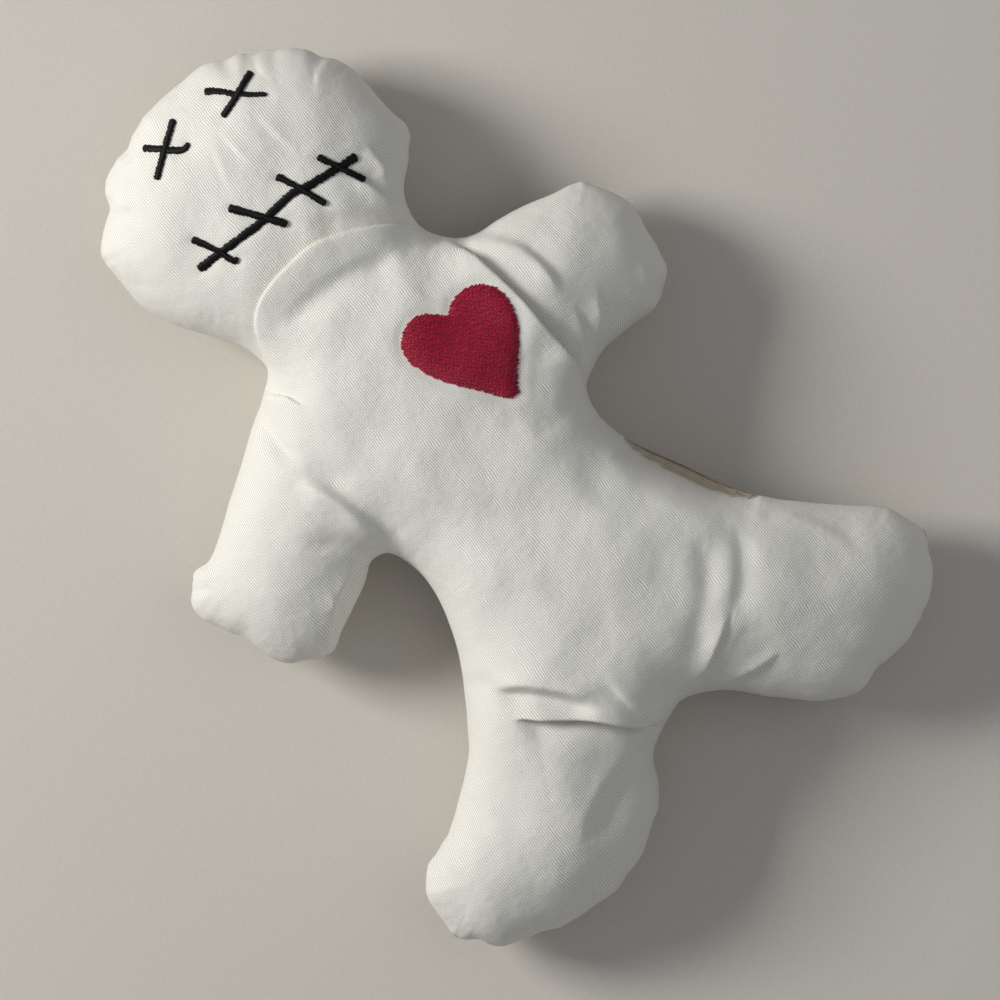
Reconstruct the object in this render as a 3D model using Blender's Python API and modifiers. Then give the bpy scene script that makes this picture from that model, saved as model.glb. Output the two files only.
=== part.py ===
"""A voodoo doll sewn from natural cotton calico, stuffed, and lying on its back.

A front panel and a back panel are cut to one outline, sewn right sides together and turned, so
each has a seam allowance folded in behind its edge. Loose fibre fills them, and the gap at the
right of the waist that it went in through is closed by hand. The eyes, the mouth and the heart
are embroidered on the front panel.

The face looks up (+Z), the head lies towards +Y, and the origin is under the middle of the doll.
Every form follows one seam outline. A panel bulges as a stretched skin does over a pressed
filling, and the folds that run in from the tight corners of the seam are laid over that.
"""

import math

import bmesh
import bpy
import numpy as np
from mathutils import Vector
from mathutils.bvhtree import BVHTree
from mathutils.geometry import delaunay_2d_cdt

MM = 0.001

# Driving dimensions, in metres
CLOTH = 0.0004  # thickness of the calico
CLEARANCE = 0.0003  # gap between pieces that lie against each other
SEAM_ALLOWANCE = 0.0045  # width of the cloth turned in behind the seam
SEAM_HEIGHT = 0.019  # height of the seam above the table, at the body
ARM_DROOP = 0.004  # how much lower the seam is at the ends of the hands
LEG_DROOP = 0.003  # and at the ends of the feet
FRONT_LOFT = 1.05  # rise of the front's bulge, as a share of a limb's half width
FRONT_LIMIT = 0.0310  # height that the front's bulge nears where the body is broad
BACK_LOFT = 0.88  # the same two for the back, before the table flattens it
BACK_LIMIT = 0.0270
FLAT_BLEND = 0.001  # height over which the back turns into its flat patch
TUCK_DEPTH = 0.0022  # how far the front's edge is turned in at the hand-closed gap
STITCH_PITCH = 0.0042  # spacing of the closing stitches
STITCH_BITE = 0.0013  # how far the closing stitches reach over the back panel's edge
THREAD_RADIUS = 0.0003  # closing thread
SATIN_HEIGHT = 0.0009  # how proud the embroidery stands
HEART_HEIGHT = 0.0008

HEAD_CENTRE = (0.0026, 0.0760)
HEAD_HALF_WIDTH = 0.0386
HEAD_HALF_HEIGHT = 0.0310
HEAD_SWEEP = (-16, 214)  # degrees of the head's ellipse, from cheek to cheek
LEFT_HAND_CENTRE = (-0.0460, 0.0023)
RIGHT_HAND_CENTRE = (0.0500, 0.0110)
FOOT_SPREAD = 0.0890  # between the middles of the feet
LEFT_FOOT_CENTRE = (-0.494 * FOOT_SPREAD, -0.0890)
RIGHT_FOOT_CENTRE = (0.506 * FOOT_SPREAD, -0.0880)
NECK_LEFT_X = -0.0225
NECK_RIGHT_X = 0.0282
NECK_Y = 0.0430
WAIST_LEFT_X = -0.0261
WAIST_RIGHT_X = 0.0326
WAIST_Y = -0.0200
CROTCH = (0.0025, -0.0852)
HEART_CENTRE = (0.0190, 0.0120)
HEART_WIDTH = 0.0275

# Mesh spacing, in metres
OUTLINE_STEP = 0.0051
FRONT_STEP = 0.0056
BACK_STEP = 0.0115
STUFFING_STEP = 0.0110
STUFFING_RIM_STEP = 0.0066
STUFFING_RIM = 0.0032  # width of the stuffing's steep rim
GROOVE_ROOM = 0.0012  # room for the allowance's edge in the stuffing's groove
PRESS_STEP = 0.0002  # how far one press moves the stuffing away from the cloth
PRESS_ROUNDS = 40
FINE_STEP = 0.0008  # of the seam itself
FIELD_STEP = 0.0032  # of the skin whose bulge is worked out
FIELD_RINGS = (0.0007, 0.0018)  # its rings of points just inside the seam
FIELD_MARGIN = 0.0034  # and the least distance of its other points
RIM_RINGS = (0.0006, 0.0026)  # a panel's rings of points just inside the seam
FOLD_STEP = 0.0040  # of the points along a fold
FOLD_SPREAD = 0.0016  # how far beside a fold's line its points lie
CREASE_GAP = 0.0022  # least distance between a panel's rings and the points of its folds
ROOMY = 0.62  # least distance between points, as a share of the spacing that they have
BEND_RADIUS = 0.008  # a bend of this radius doubles the number of points along it
BEND_SHARE = 1.6

# Seam landmarks in millimetres, each list from the point that its name gives
LEFT_NECK = [(-3.5, 9.6), (-1.3, 6.0), (-0.1, 2.0), (0.0, -2.5)]  # from the left neck
LEFT_SHOULDER = [(-4.5, -6.4), (-13.5, -12.0)]  # from the left neck
# from the left hand's centre
LEFT_HAND = [(1.0, 22.7), (-4.8, 19.0), (-9.5, 15.8), (-14.0, 13.1), (-18.0, 11.6), (-21.6, 11.9),
             (-24.4, 10.3), (-26.4, 7.3), (-27.1, 3.9), (-26.4, 0.5), (-25.0, -3.5), (-23.1, -7.7),
             (-21.4, -11.9), (-20.2, -15.8), (-18.2, -18.9), (-15.2, -21.2), (-12.7, -23.1), (-9.8, -24.5),
             (-6.6, -24.2), (-4.2, -22.5), (-0.7, -20.9), (4.3, -18.6), (9.3, -16.1)]
LEFT_ARMPIT = [(-7.0, 8.6), (-2.6, 7.4)]  # from the left waist
LEFT_SIDE = [(0.0, 1.0), (-0.1, -7.0), (-3.9, -19.5), (-10.9, -31.5), (-18.9, -42.4)]  # from the left waist
LEFT_FOOT = [(-9.0, 20.0), (-17.0, 14.9), (-25.0, 12.2), (-29.6, 6.5), (-30.7, -3.0), (-27.2, -9.8),
             (-21.5, -15.4), (-11.0, -19.4), (1.0, -21.1), (12.0, -20.4), (21.5, -16.0), (30.0, -9.2),
             (34.0, -2.2)]  # from the left foot's centre
LEFT_CROTCH = [(-8.5, -3.5), (-4.0, -1.4)]  # from the crotch
RIGHT_CROTCH = [(1.0, 0.0), (6.0, -1.8)]
RIGHT_FOOT = [(-31.6, -2.2), (-24.5, -10.0), (-17.5, -17.4), (-9.0, -22.3), (2.0, -21.6), (12.5, -20.6),
              (21.0, -15.6), (27.8, -9.2), (29.4, -2.2), (26.6, 5.6), (21.0, 12.0), (15.0, 18.0),
              (8.4, 24.8)]  # from the right foot's centre
RIGHT_SIDE = [(14.4, -34.6), (7.6, -20.5), (1.8, -8.5), (0.0, 0.5)]  # from the right waist
RIGHT_ARMPIT = [(2.0, 7.8), (6.8, 10.4)]
RIGHT_HAND = [(-5.5, -18.8), (2.8, -18.7), (10.0, -18.7), (13.2, -18.0), (15.6, -15.6), (17.8, -12.6),
              (18.6, -9.4), (19.3, -5.8), (20.3, -2.4), (21.3, 1.6), (20.9, 5.6), (19.6, 9.0),
              (17.4, 12.6), (15.4, 15.8), (12.6, 17.0), (8.5, 17.7), (4.5, 19.0), (-0.5, 20.7),
              (-5.5, 21.6)]  # from the right hand's centre
RIGHT_SHOULDER = [(7.8, -9.0), (2.8, -5.0)]  # from the right neck
RIGHT_NECK = [(0.2, 0.5), (1.0, 6.4), (3.0, 10.0), (6.6, 13.0), (9.8, 16.2), (12.1, 19.4)]

# Where the seam is gathered: x, y, push outwards (minus is a notch) and reach, in millimetres
GATHERS = [
    (-14.2, 104.4, -0.9, 2.2), (-22.5, 101.6, 1.3, 4.4), (-27.6, 94.6, -1.6, 2.4), (-35.4, 86.0, 1.8, 5.0),
    (24.5, 101.6, -0.8, 2.2), (35.9, 89.8, -0.9, 2.4), (40.9, 78.0, -0.8, 5.0), (41.0, 65.6, 1.2, 3.0),
    (-31.4, 58.4, 0.7, 4.0), (-70.4, -98.6, -1.0, 2.0), (-74.0, -94.0, 0.8, 2.6), (-66.0, -75.6, -0.6, 2.0),
    (72.6, -96.4, -0.8, 2.0), (74.4, -91.5, 0.8, 2.4), (71.5, -80.5, 0.6, 2.6), (58.0, -107.6, -0.7, 2.4),
    (-57.5, -108.4, -0.6, 2.4),
]

# Folds of the front: name, ridge height, valley depth, reach of each (mm) and the line (mm).
# The ridge lies to the left of the line's direction and the valley to its right.
FRONT_FOLDS = [
    ("neck arch", 1.9, 2.4, 5.0, 4.0,
     [(28.2, 43.4), (24, 48.4), (18, 53), (12, 56), (6, 57.2), (0, 56.8), (-9.3, 54.8), (-15, 52.2),
      (-19.6, 47.4)]),
    ("neck hollow", 0.1, 1.8, 4.0, 5.0, [(-12, 46.6), (-4, 47.4), (6, 47), (15, 45.4), (23, 42.6)]),
    ("right neck pull", 1.3, 1.5, 2.8, 2.8, [(28.0, 43.8), (26.8, 50), (25, 56.6), (22, 63.4)]),
    ("right cheek pull", 1.2, 1.6, 2.8, 3.0, [(28.6, 44.2), (29.8, 50), (30.6, 57), (30.6, 66)]),
    ("right armhole", 2.0, 3.4, 7.5, 3.8,
     [(35.4, -10.9), (36.2, -4), (36.5, 3.4), (36.0, 10), (35.2, 16), (33.9, 24), (32.6, 31),
      (31.6, 37.4)]),
    ("right arm ridge", 1.2, 1.1, 3.6, 4.0, [(44.4, 8), (45.2, 16), (43.8, 24), (40.8, 29), (37.4, 33)]),
    ("right armpit", 1.5, 1.7, 3.4, 3.2, [(36.4, -10.4), (42.0, -6.2), (47.4, -1.6), (52, 4.6)]),
    ("waist right", 0.0, 1.3, 4.0, 7.0, [(33, -17), (26, -15.5), (18, -14.5)]),
    ("left armhole", 1.4, 1.7, 4.0, 5.0, [(-28.2, -10.8), (-30, -3), (-32, 3), (-35.4, 10), (-38.6, 14.6)]),
    ("left armpit", 0.9, 2.0, 3.6, 4.0, [(-29, -10.4), (-35.8, -7.4), (-43, -2.4), (-50, 2)]),
    ("left arm pocket", 0.6, 1.7, 3.6, 3.4, [(-53.4, 19.0), (-56.0, 15.4), (-57.6, 10.6)]),
    ("left shoulder hollow", 1.0, 1.8, 3.0, 4.4, [(-27.6, 35.4), (-30.0, 31), (-31.6, 25)]),
    ("left hip upper", 1.7, 2.4, 3.6, 3.8,
     [(-9.8, -73), (-13.8, -68.6), (-19.4, -62.8), (-25.2, -57.6), (-30.4, -53.8), (-32.6, -49.6)]),
    ("left hip deep", 4.2, 2.4, 7.5, 4.4,
     [(-2.8, -86.6), (-8.0, -83.6), (-13.6, -78.2), (-19.6, -72.8), (-25.2, -68.4), (-30.2, -64.6)]),
    ("left leg edge", 1.0, 1.8, 4.0, 4.0, [(-4, -88.4), (-9, -89.2), (-15, -89.3), (-22.5, -89.4)]),
    ("right hip", 1.9, 2.2, 4.0, 3.4,
     [(3.4, -85.4), (10, -84.2), (15, -82.4), (20.4, -80), (25.6, -77.4), (30.4, -74), (35.4, -69)]),
    ("right hip lower", 0.9, 1.3, 2.8, 2.8, [(10, -87.6), (17, -88.6), (24, -89.4), (31, -90.6)]),
    ("right leg ridge", 0.9, 0.3, 3.6, 4.4, [(59.4, -87), (58.6, -80), (56.4, -73), (52, -66)]),
    ("crown left", 0.9, 1.2, 3.0, 3.0, [(-27.6, 93.8), (-24.0, 91.6), (-19.4, 87.4)]),
    ("left foot pucker", 0.8, 1.3, 2.8, 2.8, [(-65.4, -76.0), (-65.0, -80.0), (-65.6, -85)]),
]
BACK_FOLDS = [
    ("nape", 0.8, 1.2, 5.0, 5.0, [(27, 44), (14, 48), (2, 49.5), (-10, 48), (-21, 44)]),
    ("right armhole back", 0.9, 1.4, 6.0, 5.0, [(35, -10), (36, 4), (34.5, 18), (31, 33)]),
    ("left armhole back", 0.9, 1.4, 6.0, 5.0, [(-26, 33), (-30, 18), (-30.5, 2), (-28, -11)]),
    ("left hip back", 1.0, 1.6, 5.0, 5.0, [(-30, -60), (-20, -69), (-10, -78), (-1, -85.5)]),
    ("right hip back", 1.0, 1.6, 5.0, 5.0, [(4, -85.5), (14, -78), (25, -69), (36, -60)]),
]
FOLD_FADE = 0.009  # a fold dies away over this length at an end that the seam doesn't hold
FOLD_HOLD = 0.005  # the seam holds an end that lies nearer to it than this
FOLD_END = 0.004  # and over this distance beyond its line
FOLD_EDGE = 0.0012  # half the width of the slope between ridge and valley

# Embroidery, from the head's centre and in shares of its half width. Each satin bar is
# (x, y, x, y, width), and its width is in millimetres.
LEFT_EYE = [(-0.36, 0.609, -0.15, 0.43, 1.5), (-0.42, 0.396, -0.096, 0.624, 1.4)]
RIGHT_EYE = [(0.158, 0.635, 0.44, 0.373, 1.3), (0.142, 0.433, 0.464, 0.544, 1.4)]
MOUTH_LINE = [(-0.573, -0.199), (-0.42, -0.205), (-0.233, -0.218), (-0.049, -0.223), (0.174, -0.21),
              (0.285, -0.236), (0.487, -0.267), (0.63, -0.282)]
MOUTH_WIDTH = 0.0018
MOUTH_BARS = [(-0.484, -0.026, -0.358, -0.313, 1.4), (-0.187, -0.023, 0.031, -0.337, 1.7),
              (0.166, -0.062, 0.293, -0.394, 1.4), (0.438, -0.132, 0.575, -0.433, 1.4)]
# The heart's outline, from its centre and in shares of its width
HEART = [(-0.502, 0.298), (-0.451, 0.433), (-0.342, 0.513), (-0.222, 0.527), (-0.109, 0.473),
         (0.007, 0.371), (0.109, 0.425), (0.225, 0.451), (0.378, 0.4), (0.48, 0.284), (0.498, 0.16),
         (0.458, -0.022), (0.342, -0.204), (0.204, -0.356), (0.105, -0.465), (0.051, -0.549),
         (-0.036, -0.531), (-0.171, -0.342), (-0.32, -0.153), (-0.436, 0.051)]
CLOSED_BY_HAND = [(33.2, -27.5), (49.6, -59.5)]  # ends of the hand-closed gap, in millimetres
GAP_WINDOW = 6  # points each way that a normal of the gap's edge is averaged over
GAP_END = 6  # points at each end of the gap that the closing thread leaves out
POINTS_PER_STITCH = 6
BAR_STEP = 0.0024  # of the points along a satin bar
BAR_END = 0.72  # a bar's width at its ends, as a share
BAR_LIFT = 0.00002  # a later bar lies this much over the one before it
CROSSING_RISE = 1.12  # and stands this many times as proud
HEART_EDGE_STEP = 0.0030  # of the points round the heart
HEART_STEP = 0.0036  # and inside it
HEART_BORDER = 0.0009  # width of the heart's rounded edge
HEART_EDGE_SHARE = 0.35  # its height at the very edge, as a share


def from_point(x, y, offsets):
    return np.array([x, y]) + np.array(offsets) * MM


def seam_landmarks():
    """The seam's landmarks, anticlockwise from the right of the neck."""
    t = np.radians(np.linspace(*HEAD_SWEEP, 26))
    head = np.stack([HEAD_CENTRE[0] + HEAD_HALF_WIDTH * np.cos(t),
                     HEAD_CENTRE[1] + HEAD_HALF_HEIGHT * np.sin(t)], 1)
    return np.concatenate([
        head,
        from_point(NECK_LEFT_X, NECK_Y, LEFT_NECK + LEFT_SHOULDER),
        from_point(*LEFT_HAND_CENTRE, LEFT_HAND),
        from_point(WAIST_LEFT_X, WAIST_Y, LEFT_ARMPIT + LEFT_SIDE),
        from_point(*LEFT_FOOT_CENTRE, LEFT_FOOT),
        from_point(*CROTCH, LEFT_CROTCH + RIGHT_CROTCH),
        from_point(*RIGHT_FOOT_CENTRE, RIGHT_FOOT),
        from_point(WAIST_RIGHT_X, WAIST_Y, RIGHT_SIDE + RIGHT_ARMPIT),
        from_point(*RIGHT_HAND_CENTRE, RIGHT_HAND),
        from_point(NECK_RIGHT_X, NECK_Y, RIGHT_SHOULDER + RIGHT_NECK),
    ])


def smooth_loop(points, samples=20):
    """A centripetal Catmull-Rom curve through the points of a closed loop."""
    p0, p1, p2, p3 = (np.roll(points, k, 0)[:, None] for k in (1, 0, -1, -2))
    pairs = ((p0, p1), (p1, p2), (p2, p3))
    d0, d1, d2 = (np.linalg.norm(b - a, axis=2, keepdims=True) ** 0.5 for a, b in pairs)
    m1 = d1 * ((p1 - p0) / d0 - (p2 - p0) / (d0 + d1) + (p2 - p1) / d1)
    m2 = d1 * ((p2 - p1) / d1 - (p3 - p1) / (d1 + d2) + (p3 - p2) / d2)
    t = np.linspace(0, 1, samples, endpoint=False)[None, :, None]
    curve = ((2 * t**3 - 3 * t**2 + 1) * p1 + (t**3 - 2 * t**2 + t) * m1
             + (3 * t**2 - 2 * t**3) * p2 + (t**3 - t**2) * m2)
    return curve.reshape(-1, 2)


def run_of(line):
    return np.concatenate([[0], np.cumsum(np.linalg.norm(np.diff(line, axis=0), axis=1))])


def even_loop(points, step):
    """The closed loop again, with points about step apart."""
    loop = np.vstack([points, points[:1]])
    run = run_of(loop)
    at = np.linspace(0, run[-1], round(run[-1] / step), endpoint=False)
    return np.stack([np.interp(at, run, loop[:, k]) for k in (0, 1)], 1)


def even_line(points, step):
    run = run_of(points)
    at = np.linspace(0, run[-1], max(2, round(run[-1] / step) + 1))
    return np.stack([np.interp(at, run, points[:, k]) for k in range(points.shape[1])], 1)


def smooth_line(points, step):
    """A smooth curve through the points of an open line, sampled about every step."""
    padded = np.vstack([2 * points[:1] - points[1:2], points, 2 * points[-1:] - points[-2:-1]])
    curve = smooth_loop(padded).reshape(len(padded), -1, 2)[1:-2].reshape(-1, 2)
    return even_line(np.vstack([curve, points[-1:]]), step)


def loop_normals(loop, window):
    """Outward normals of an anticlockwise loop, with corners rounded over window points each way."""
    tangent = np.roll(loop, -1, 0) - np.roll(loop, 1, 0)
    tangent /= np.linalg.norm(tangent, axis=1, keepdims=True)
    tangent = sum(np.roll(tangent, k, 0) for k in range(-window, window + 1))
    tangent /= np.linalg.norm(tangent, axis=1, keepdims=True)
    return np.stack([tangent[:, 1], -tangent[:, 0]], 1)


def gathered(loop):
    """The loop with its gathers: each pushes the seam along its normal by a bell-shaped amount."""
    push = np.zeros(len(loop))
    for x, y, amount, reach in GATHERS:
        away = np.linalg.norm(loop - np.array([x, y]) * MM, axis=1)
        push += amount * MM * np.exp(-((away / (reach * MM)) ** 2))
    return loop + loop_normals(loop, 3) * push[:, None]


RAW_SEAM = gathered(even_loop(smooth_loop(seam_landmarks()), FINE_STEP))
ORIGIN = (RAW_SEAM.min(0) + RAW_SEAM.max(0)) / 2


def placed(points, about=(0.0, 0.0), unit=MM):
    """Points given from a landmark and in a unit of their own, in the doll's frame in metres."""
    return np.array(points) * unit + np.array(about) - ORIGIN


SEAM = RAW_SEAM - ORIGIN


def tucked(loop):
    """The front panel's edge: the seam, turned in along the hand-closed gap."""
    ends = placed(CLOSED_BY_HAND)
    first, last = sorted(int(np.linalg.norm(loop - end, axis=1).argmin()) for end in ends)
    share = np.zeros(len(loop))
    share[first:last + 1] = np.sin(np.linspace(0, math.pi, last + 1 - first)) ** 0.6
    return loop - loop_normals(loop, GAP_WINDOW) * (TUCK_DEPTH * share)[:, None], (first, last)


FRONT_EDGE, GAP_SPAN = tucked(SEAM)


def stitched_outline(edge, step):
    """An outline of an edge, with points about step apart that lie closer where it bends tightly."""
    tangent = np.unwrap(np.arctan2(*(np.roll(edge, -2, 0) - np.roll(edge, 2, 0)).T[::-1]))
    bend = np.abs(np.roll(tangent, -4) - np.roll(tangent, 4)) / (8 * FINE_STEP)
    bend[np.abs(bend) > 1.5 * math.pi / (8 * FINE_STEP)] = 0
    weight = 1 + np.minimum(bend * BEND_RADIUS, BEND_SHARE)
    run = np.concatenate([[0], np.cumsum(weight)])
    loop = np.vstack([edge, edge[:1]])
    at = np.linspace(0, run[-1], round(len(SEAM) * FINE_STEP / step), endpoint=False)
    return np.stack([np.interp(at, run, loop[:, k]) for k in (0, 1)], 1)


def inset(loop, distance):
    """The loop moved inwards, with its small corners rounded first so that it can't fold over."""
    spacing = run_of(loop)[-1] / len(loop)
    window = max(1, round(ROOMY * distance / spacing))
    return loop - loop_normals(loop, window) * distance


def lattice(loop, step, margin):
    """An even triangular lattice of points inside the loop, at least margin from it."""
    low, high = loop.min(0), loop.max(0)
    rows = np.arange(low[1], high[1], step * math.sqrt(3) / 2)
    columns = np.arange(low[0], high[0], step)
    x, y = np.meshgrid(columns, rows)
    x = x + (np.arange(len(rows)) % 2)[:, None] * step / 2
    return inside_points(np.stack([x.ravel(), y.ravel()], 1), loop, margin)


def inside_points(points, loop, margin):
    a, b = loop, np.roll(loop, -1, 0)
    x, y = points[:, :1], points[:, 1:]
    crossing = (a[:, 1] > y) != (b[:, 1] > y)
    with np.errstate(divide="ignore", invalid="ignore"):
        at = a[:, 0] + (y - a[:, 1]) * (b[:, 0] - a[:, 0]) / (b[:, 1] - a[:, 1])
    odd = (crossing & (x < at)).sum(1) % 2 == 1
    return points[odd & (distance_to(points, np.vstack([a, a[:1]])) > margin)]


def distance_to(points, line):
    """How far each point is from a line's nearest point."""
    a, b = line[:-1], line[1:]
    d = b - a
    away = np.full(len(points), np.inf)
    for start in range(0, len(points), 400):
        p = points[start:start + 400, None]
        t = np.clip(((p - a) * d).sum(2) / np.maximum((d * d).sum(1), 1e-14), 0, 1)
        away[start:start + 400] = np.linalg.norm(p - a - t[..., None] * d, axis=2).min(1)
    return away


def thinned(points, kept, gap):
    """The points that are at least gap from every kept point and from each other."""
    chosen = list(kept)
    grown = np.array(chosen)
    added = []
    for p in points:
        if (np.abs(grown - p).max(1).min() > gap) or (np.linalg.norm(grown - p, axis=1).min() > gap):
            added.append(p)
            grown = np.vstack([grown, p])
    return np.array(added).reshape(-1, 2)


def filled(loop, inner):
    """Triangles that fill the loop and use the inner points too."""
    points = np.vstack([loop, inner])
    result = delaunay_2d_cdt([Vector(p / MM) for p in points], [], [list(range(len(loop)))], 1, 1e-5)
    if len(result[0]) != len(points):
        raise ValueError("points of the panel coincide")
    faces = [tuple(f) for f in result[2]]
    return points, faces


def stiffness(points, triangles):
    """The matrix of the membrane equation, from the cotangents of each triangle's corners."""
    matrix = np.zeros((len(points), len(points)))
    load = np.zeros(len(points))
    corner = points[triangles]
    for k in range(3):
        i, j, o = triangles[:, (k + 1) % 3], triangles[:, (k + 2) % 3], corner[:, k]
        a, b = corner[:, (k + 1) % 3] - o, corner[:, (k + 2) % 3] - o
        area2 = np.abs(a[:, 0] * b[:, 1] - a[:, 1] * b[:, 0])
        weight = 0.5 * (a * b).sum(1) / area2
        np.add.at(matrix, (i, j), -weight)
        np.add.at(matrix, (j, i), -weight)
        np.add.at(matrix, (i, i), weight)
        np.add.at(matrix, (j, j), weight)
        np.add.at(load, triangles[:, k], area2 / 6)
    return matrix, load


def membrane(edge):
    """The bulge of a skin held along the edge under even pressure: a lookup of its unit height.

    The skin's deflection f solves laplace(f) = -1, and sqrt(2 f) is the height of the round
    section that an evenly stuffed tube of the same width has.
    """
    loop = stitched_outline(edge, FIELD_STEP)
    rings = [inset(loop, d) for d in FIELD_RINGS]
    inner = np.vstack(rings + [lattice(loop, FIELD_STEP, FIELD_MARGIN)])
    points, faces = filled(loop, inner)
    matrix, load = stiffness(points, np.array(faces))
    free = np.arange(len(loop), len(points))
    deflection = np.zeros(len(points))
    deflection[free] = np.linalg.solve(matrix[np.ix_(free, free)], load[free])
    scale = 1 / HEAD_HALF_WIDTH
    tree = BVHTree.FromPolygons([(*p, f * scale) for p, f in zip(points, deflection)], faces)

    def height(xy):
        found = [tree.ray_cast(Vector((x, y, 1.0)), Vector((0, 0, -1)))[0] for x, y in xy]
        return np.array([math.sqrt(max(0.0, 2 * hit.z / scale)) if hit else 0.0 for hit in found])

    return height


def eased(x):
    x = np.clip(x, 0, 1)
    return x * x * (3 - 2 * x)


def fold_height(xy, folds):
    """The folds' height at each point: a ridge left of each line and a valley right of it."""
    total = np.zeros(len(xy))
    for _, rise, fall, rise_reach, fall_reach, points in folds:
        line = smooth_line(placed(points), FINE_STEP)
        run = run_of(line)
        tangent = np.gradient(line, axis=0)
        tangent /= np.linalg.norm(tangent, axis=1, keepdims=True)
        away = np.linalg.norm(xy[:, None] - line, axis=2)
        nearest = away.argmin(1)
        offset = xy - line[nearest]
        side = tangent[nearest, 0] * offset[:, 1] - tangent[nearest, 1] * offset[:, 0]
        away = away.min(1)
        along = run[nearest]
        held = distance_to(line[[0, -1]], SEAM) < FOLD_HOLD
        start = 1 if held[0] else eased(along / FOLD_FADE)
        finish = 1 if held[1] else eased((run[-1] - along) / FOLD_FADE)
        beyond = np.exp(-np.abs(away**2 - side**2) / FOLD_END**2)
        ridge = rise * np.exp(-((away / (rise_reach * MM)) ** 2))
        valley = -fall * np.exp(-((away / (fall_reach * MM)) ** 2))
        left = 0.5 + 0.5 * np.tanh(side / FOLD_EDGE)
        total += MM * start * finish * beyond * (left * ridge + (1 - left) * valley)
    return total


def fold_points(folds):
    """Points along each fold's line and beside it, so that the mesh follows the fold."""
    rows = []
    for _, _, _, _, _, points in folds:
        line = smooth_line(placed(points), FOLD_STEP)
        tangent = np.gradient(line, axis=0)
        tangent /= np.linalg.norm(tangent, axis=1, keepdims=True)
        normal = np.stack([-tangent[:, 1], tangent[:, 0]], 1)
        rows += [line + normal * FOLD_SPREAD, line - normal * FOLD_SPREAD]
    return np.vstack(rows)


def seam_height(xy):
    """Height of the seam, which droops towards the hands and the feet."""
    reach = SEAM[:, 0].max()
    out = eased((np.abs(xy[:, 0]) - 0.5 * reach) / (0.5 * reach))
    arms = out * eased((xy[:, 1] + 0.045) / 0.02)
    foot = SEAM[:, 1].min()
    legs = eased((xy[:, 1] - 0.45 * foot) / (0.5 * foot))
    return SEAM_HEIGHT - ARM_DROOP * arms - LEG_DROOP * legs


FRONT_MEMBRANE = membrane(FRONT_EDGE)
BACK_MEMBRANE = membrane(SEAM)
SEAM_GAP = CLEARANCE / 2  # each panel's edge is this far from the seam's own plane
FOLD_ROOM = 0.0096  # folds reach their full height this far above the seam


def bulge_of(unit_height, loft, limit):
    """The cloth's rise: in step with a narrow limb's width, and nearing a limit on the broad body."""
    return limit * np.tanh(loft * unit_height / limit)


def front_z(xy):
    bulge = bulge_of(FRONT_MEMBRANE(xy), FRONT_LOFT, FRONT_LIMIT)
    folds = fold_height(xy, FRONT_FOLDS) * eased(bulge / FOLD_ROOM)
    return seam_height(xy) + SEAM_GAP + bulge + folds


def back_z(xy):
    bulge = bulge_of(BACK_MEMBRANE(xy), BACK_LOFT, BACK_LIMIT)
    folds = fold_height(xy, BACK_FOLDS) * eased(bulge / FOLD_ROOM)
    raw = seam_height(xy) - SEAM_GAP - bulge - folds
    return np.where(raw < -FLAT_BLEND, 0.0,
                    np.where(raw > FLAT_BLEND, raw, (raw + FLAT_BLEND) ** 2 / (4 * FLAT_BLEND)))


def cotton(name, colour, roughness):
    material = bpy.data.materials.new(name)
    material.use_nodes = True
    shader = material.node_tree.nodes["Principled BSDF"]
    shader.inputs["Base Color"].default_value = (*colour, 1)
    shader.inputs["Roughness"].default_value = roughness
    return material


def new_object(name, vertices, faces, material, collection):
    mesh = bpy.data.meshes.new(name)
    mesh.from_pydata([tuple(v) for v in vertices], [], [tuple(f) for f in faces])
    mesh.validate()
    body = bmesh.new()
    body.from_mesh(mesh)
    bmesh.ops.recalc_face_normals(body, faces=body.faces)
    body.to_mesh(mesh)
    body.free()
    mesh.materials.append(material)
    mesh.shade_smooth()
    piece = bpy.data.objects.new(name, mesh)
    collection.objects.link(piece)
    return piece


def strip(first, second, count):
    """Quads between two loops of count vertices each, from their first vertices' numbers."""
    following = [(i + 1) % count for i in range(count)]
    return [(first + i, first + j, second + j, second + i) for i, j in enumerate(following)]


def panel(name, edge, step, folds, z_of, up, material, collection):
    """A sewn panel: its bulging skin and the allowance that is turned in behind its edge."""
    loop = stitched_outline(edge, OUTLINE_STEP)
    rings = np.vstack([inset(loop, d) for d in RIM_RINGS])
    creases = inside_points(fold_points(folds), loop, RIM_RINGS[-1] + FOLD_SPREAD)
    creases = thinned(creases, rings, CREASE_GAP)
    field = lattice(loop, step, RIM_RINGS[-1] + 0.55 * step)
    field = thinned(field, np.vstack([rings, creases]), ROOMY * step)
    points, faces = filled(loop, np.vstack([rings, creases, field]))
    z = z_of(points)
    z[:len(loop)] = seam_height(loop) + (SEAM_GAP if up else -SEAM_GAP)
    turned = inset(loop, SEAM_ALLOWANCE)
    skin = np.column_stack([points, z])
    allowance = np.column_stack([turned, seam_height(turned) + (SEAM_GAP if up else -SEAM_GAP)])
    faces += strip(0, len(points), len(loop))
    piece = new_object(name, np.vstack([skin, allowance]), faces, material, collection)
    top = max(piece.data.polygons, key=lambda f: f.center.z * (1 if up else -1))
    if (top.normal.z > 0) != up:
        piece.data.flip_normals()
    thickness = piece.modifiers.new("Cloth", "SOLIDIFY")
    thickness.thickness = CLOTH
    thickness.offset = -1
    thickness.use_even_offset = True
    return piece


def evaluated_tree(piece):
    """A finished piece's faces, for finding what lies over or against them."""
    bpy.context.view_layer.update()
    body = bmesh.new()
    body.from_object(piece, bpy.context.evaluated_depsgraph_get())
    tree = BVHTree.FromBMesh(body)
    body.free()
    return tree


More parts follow.
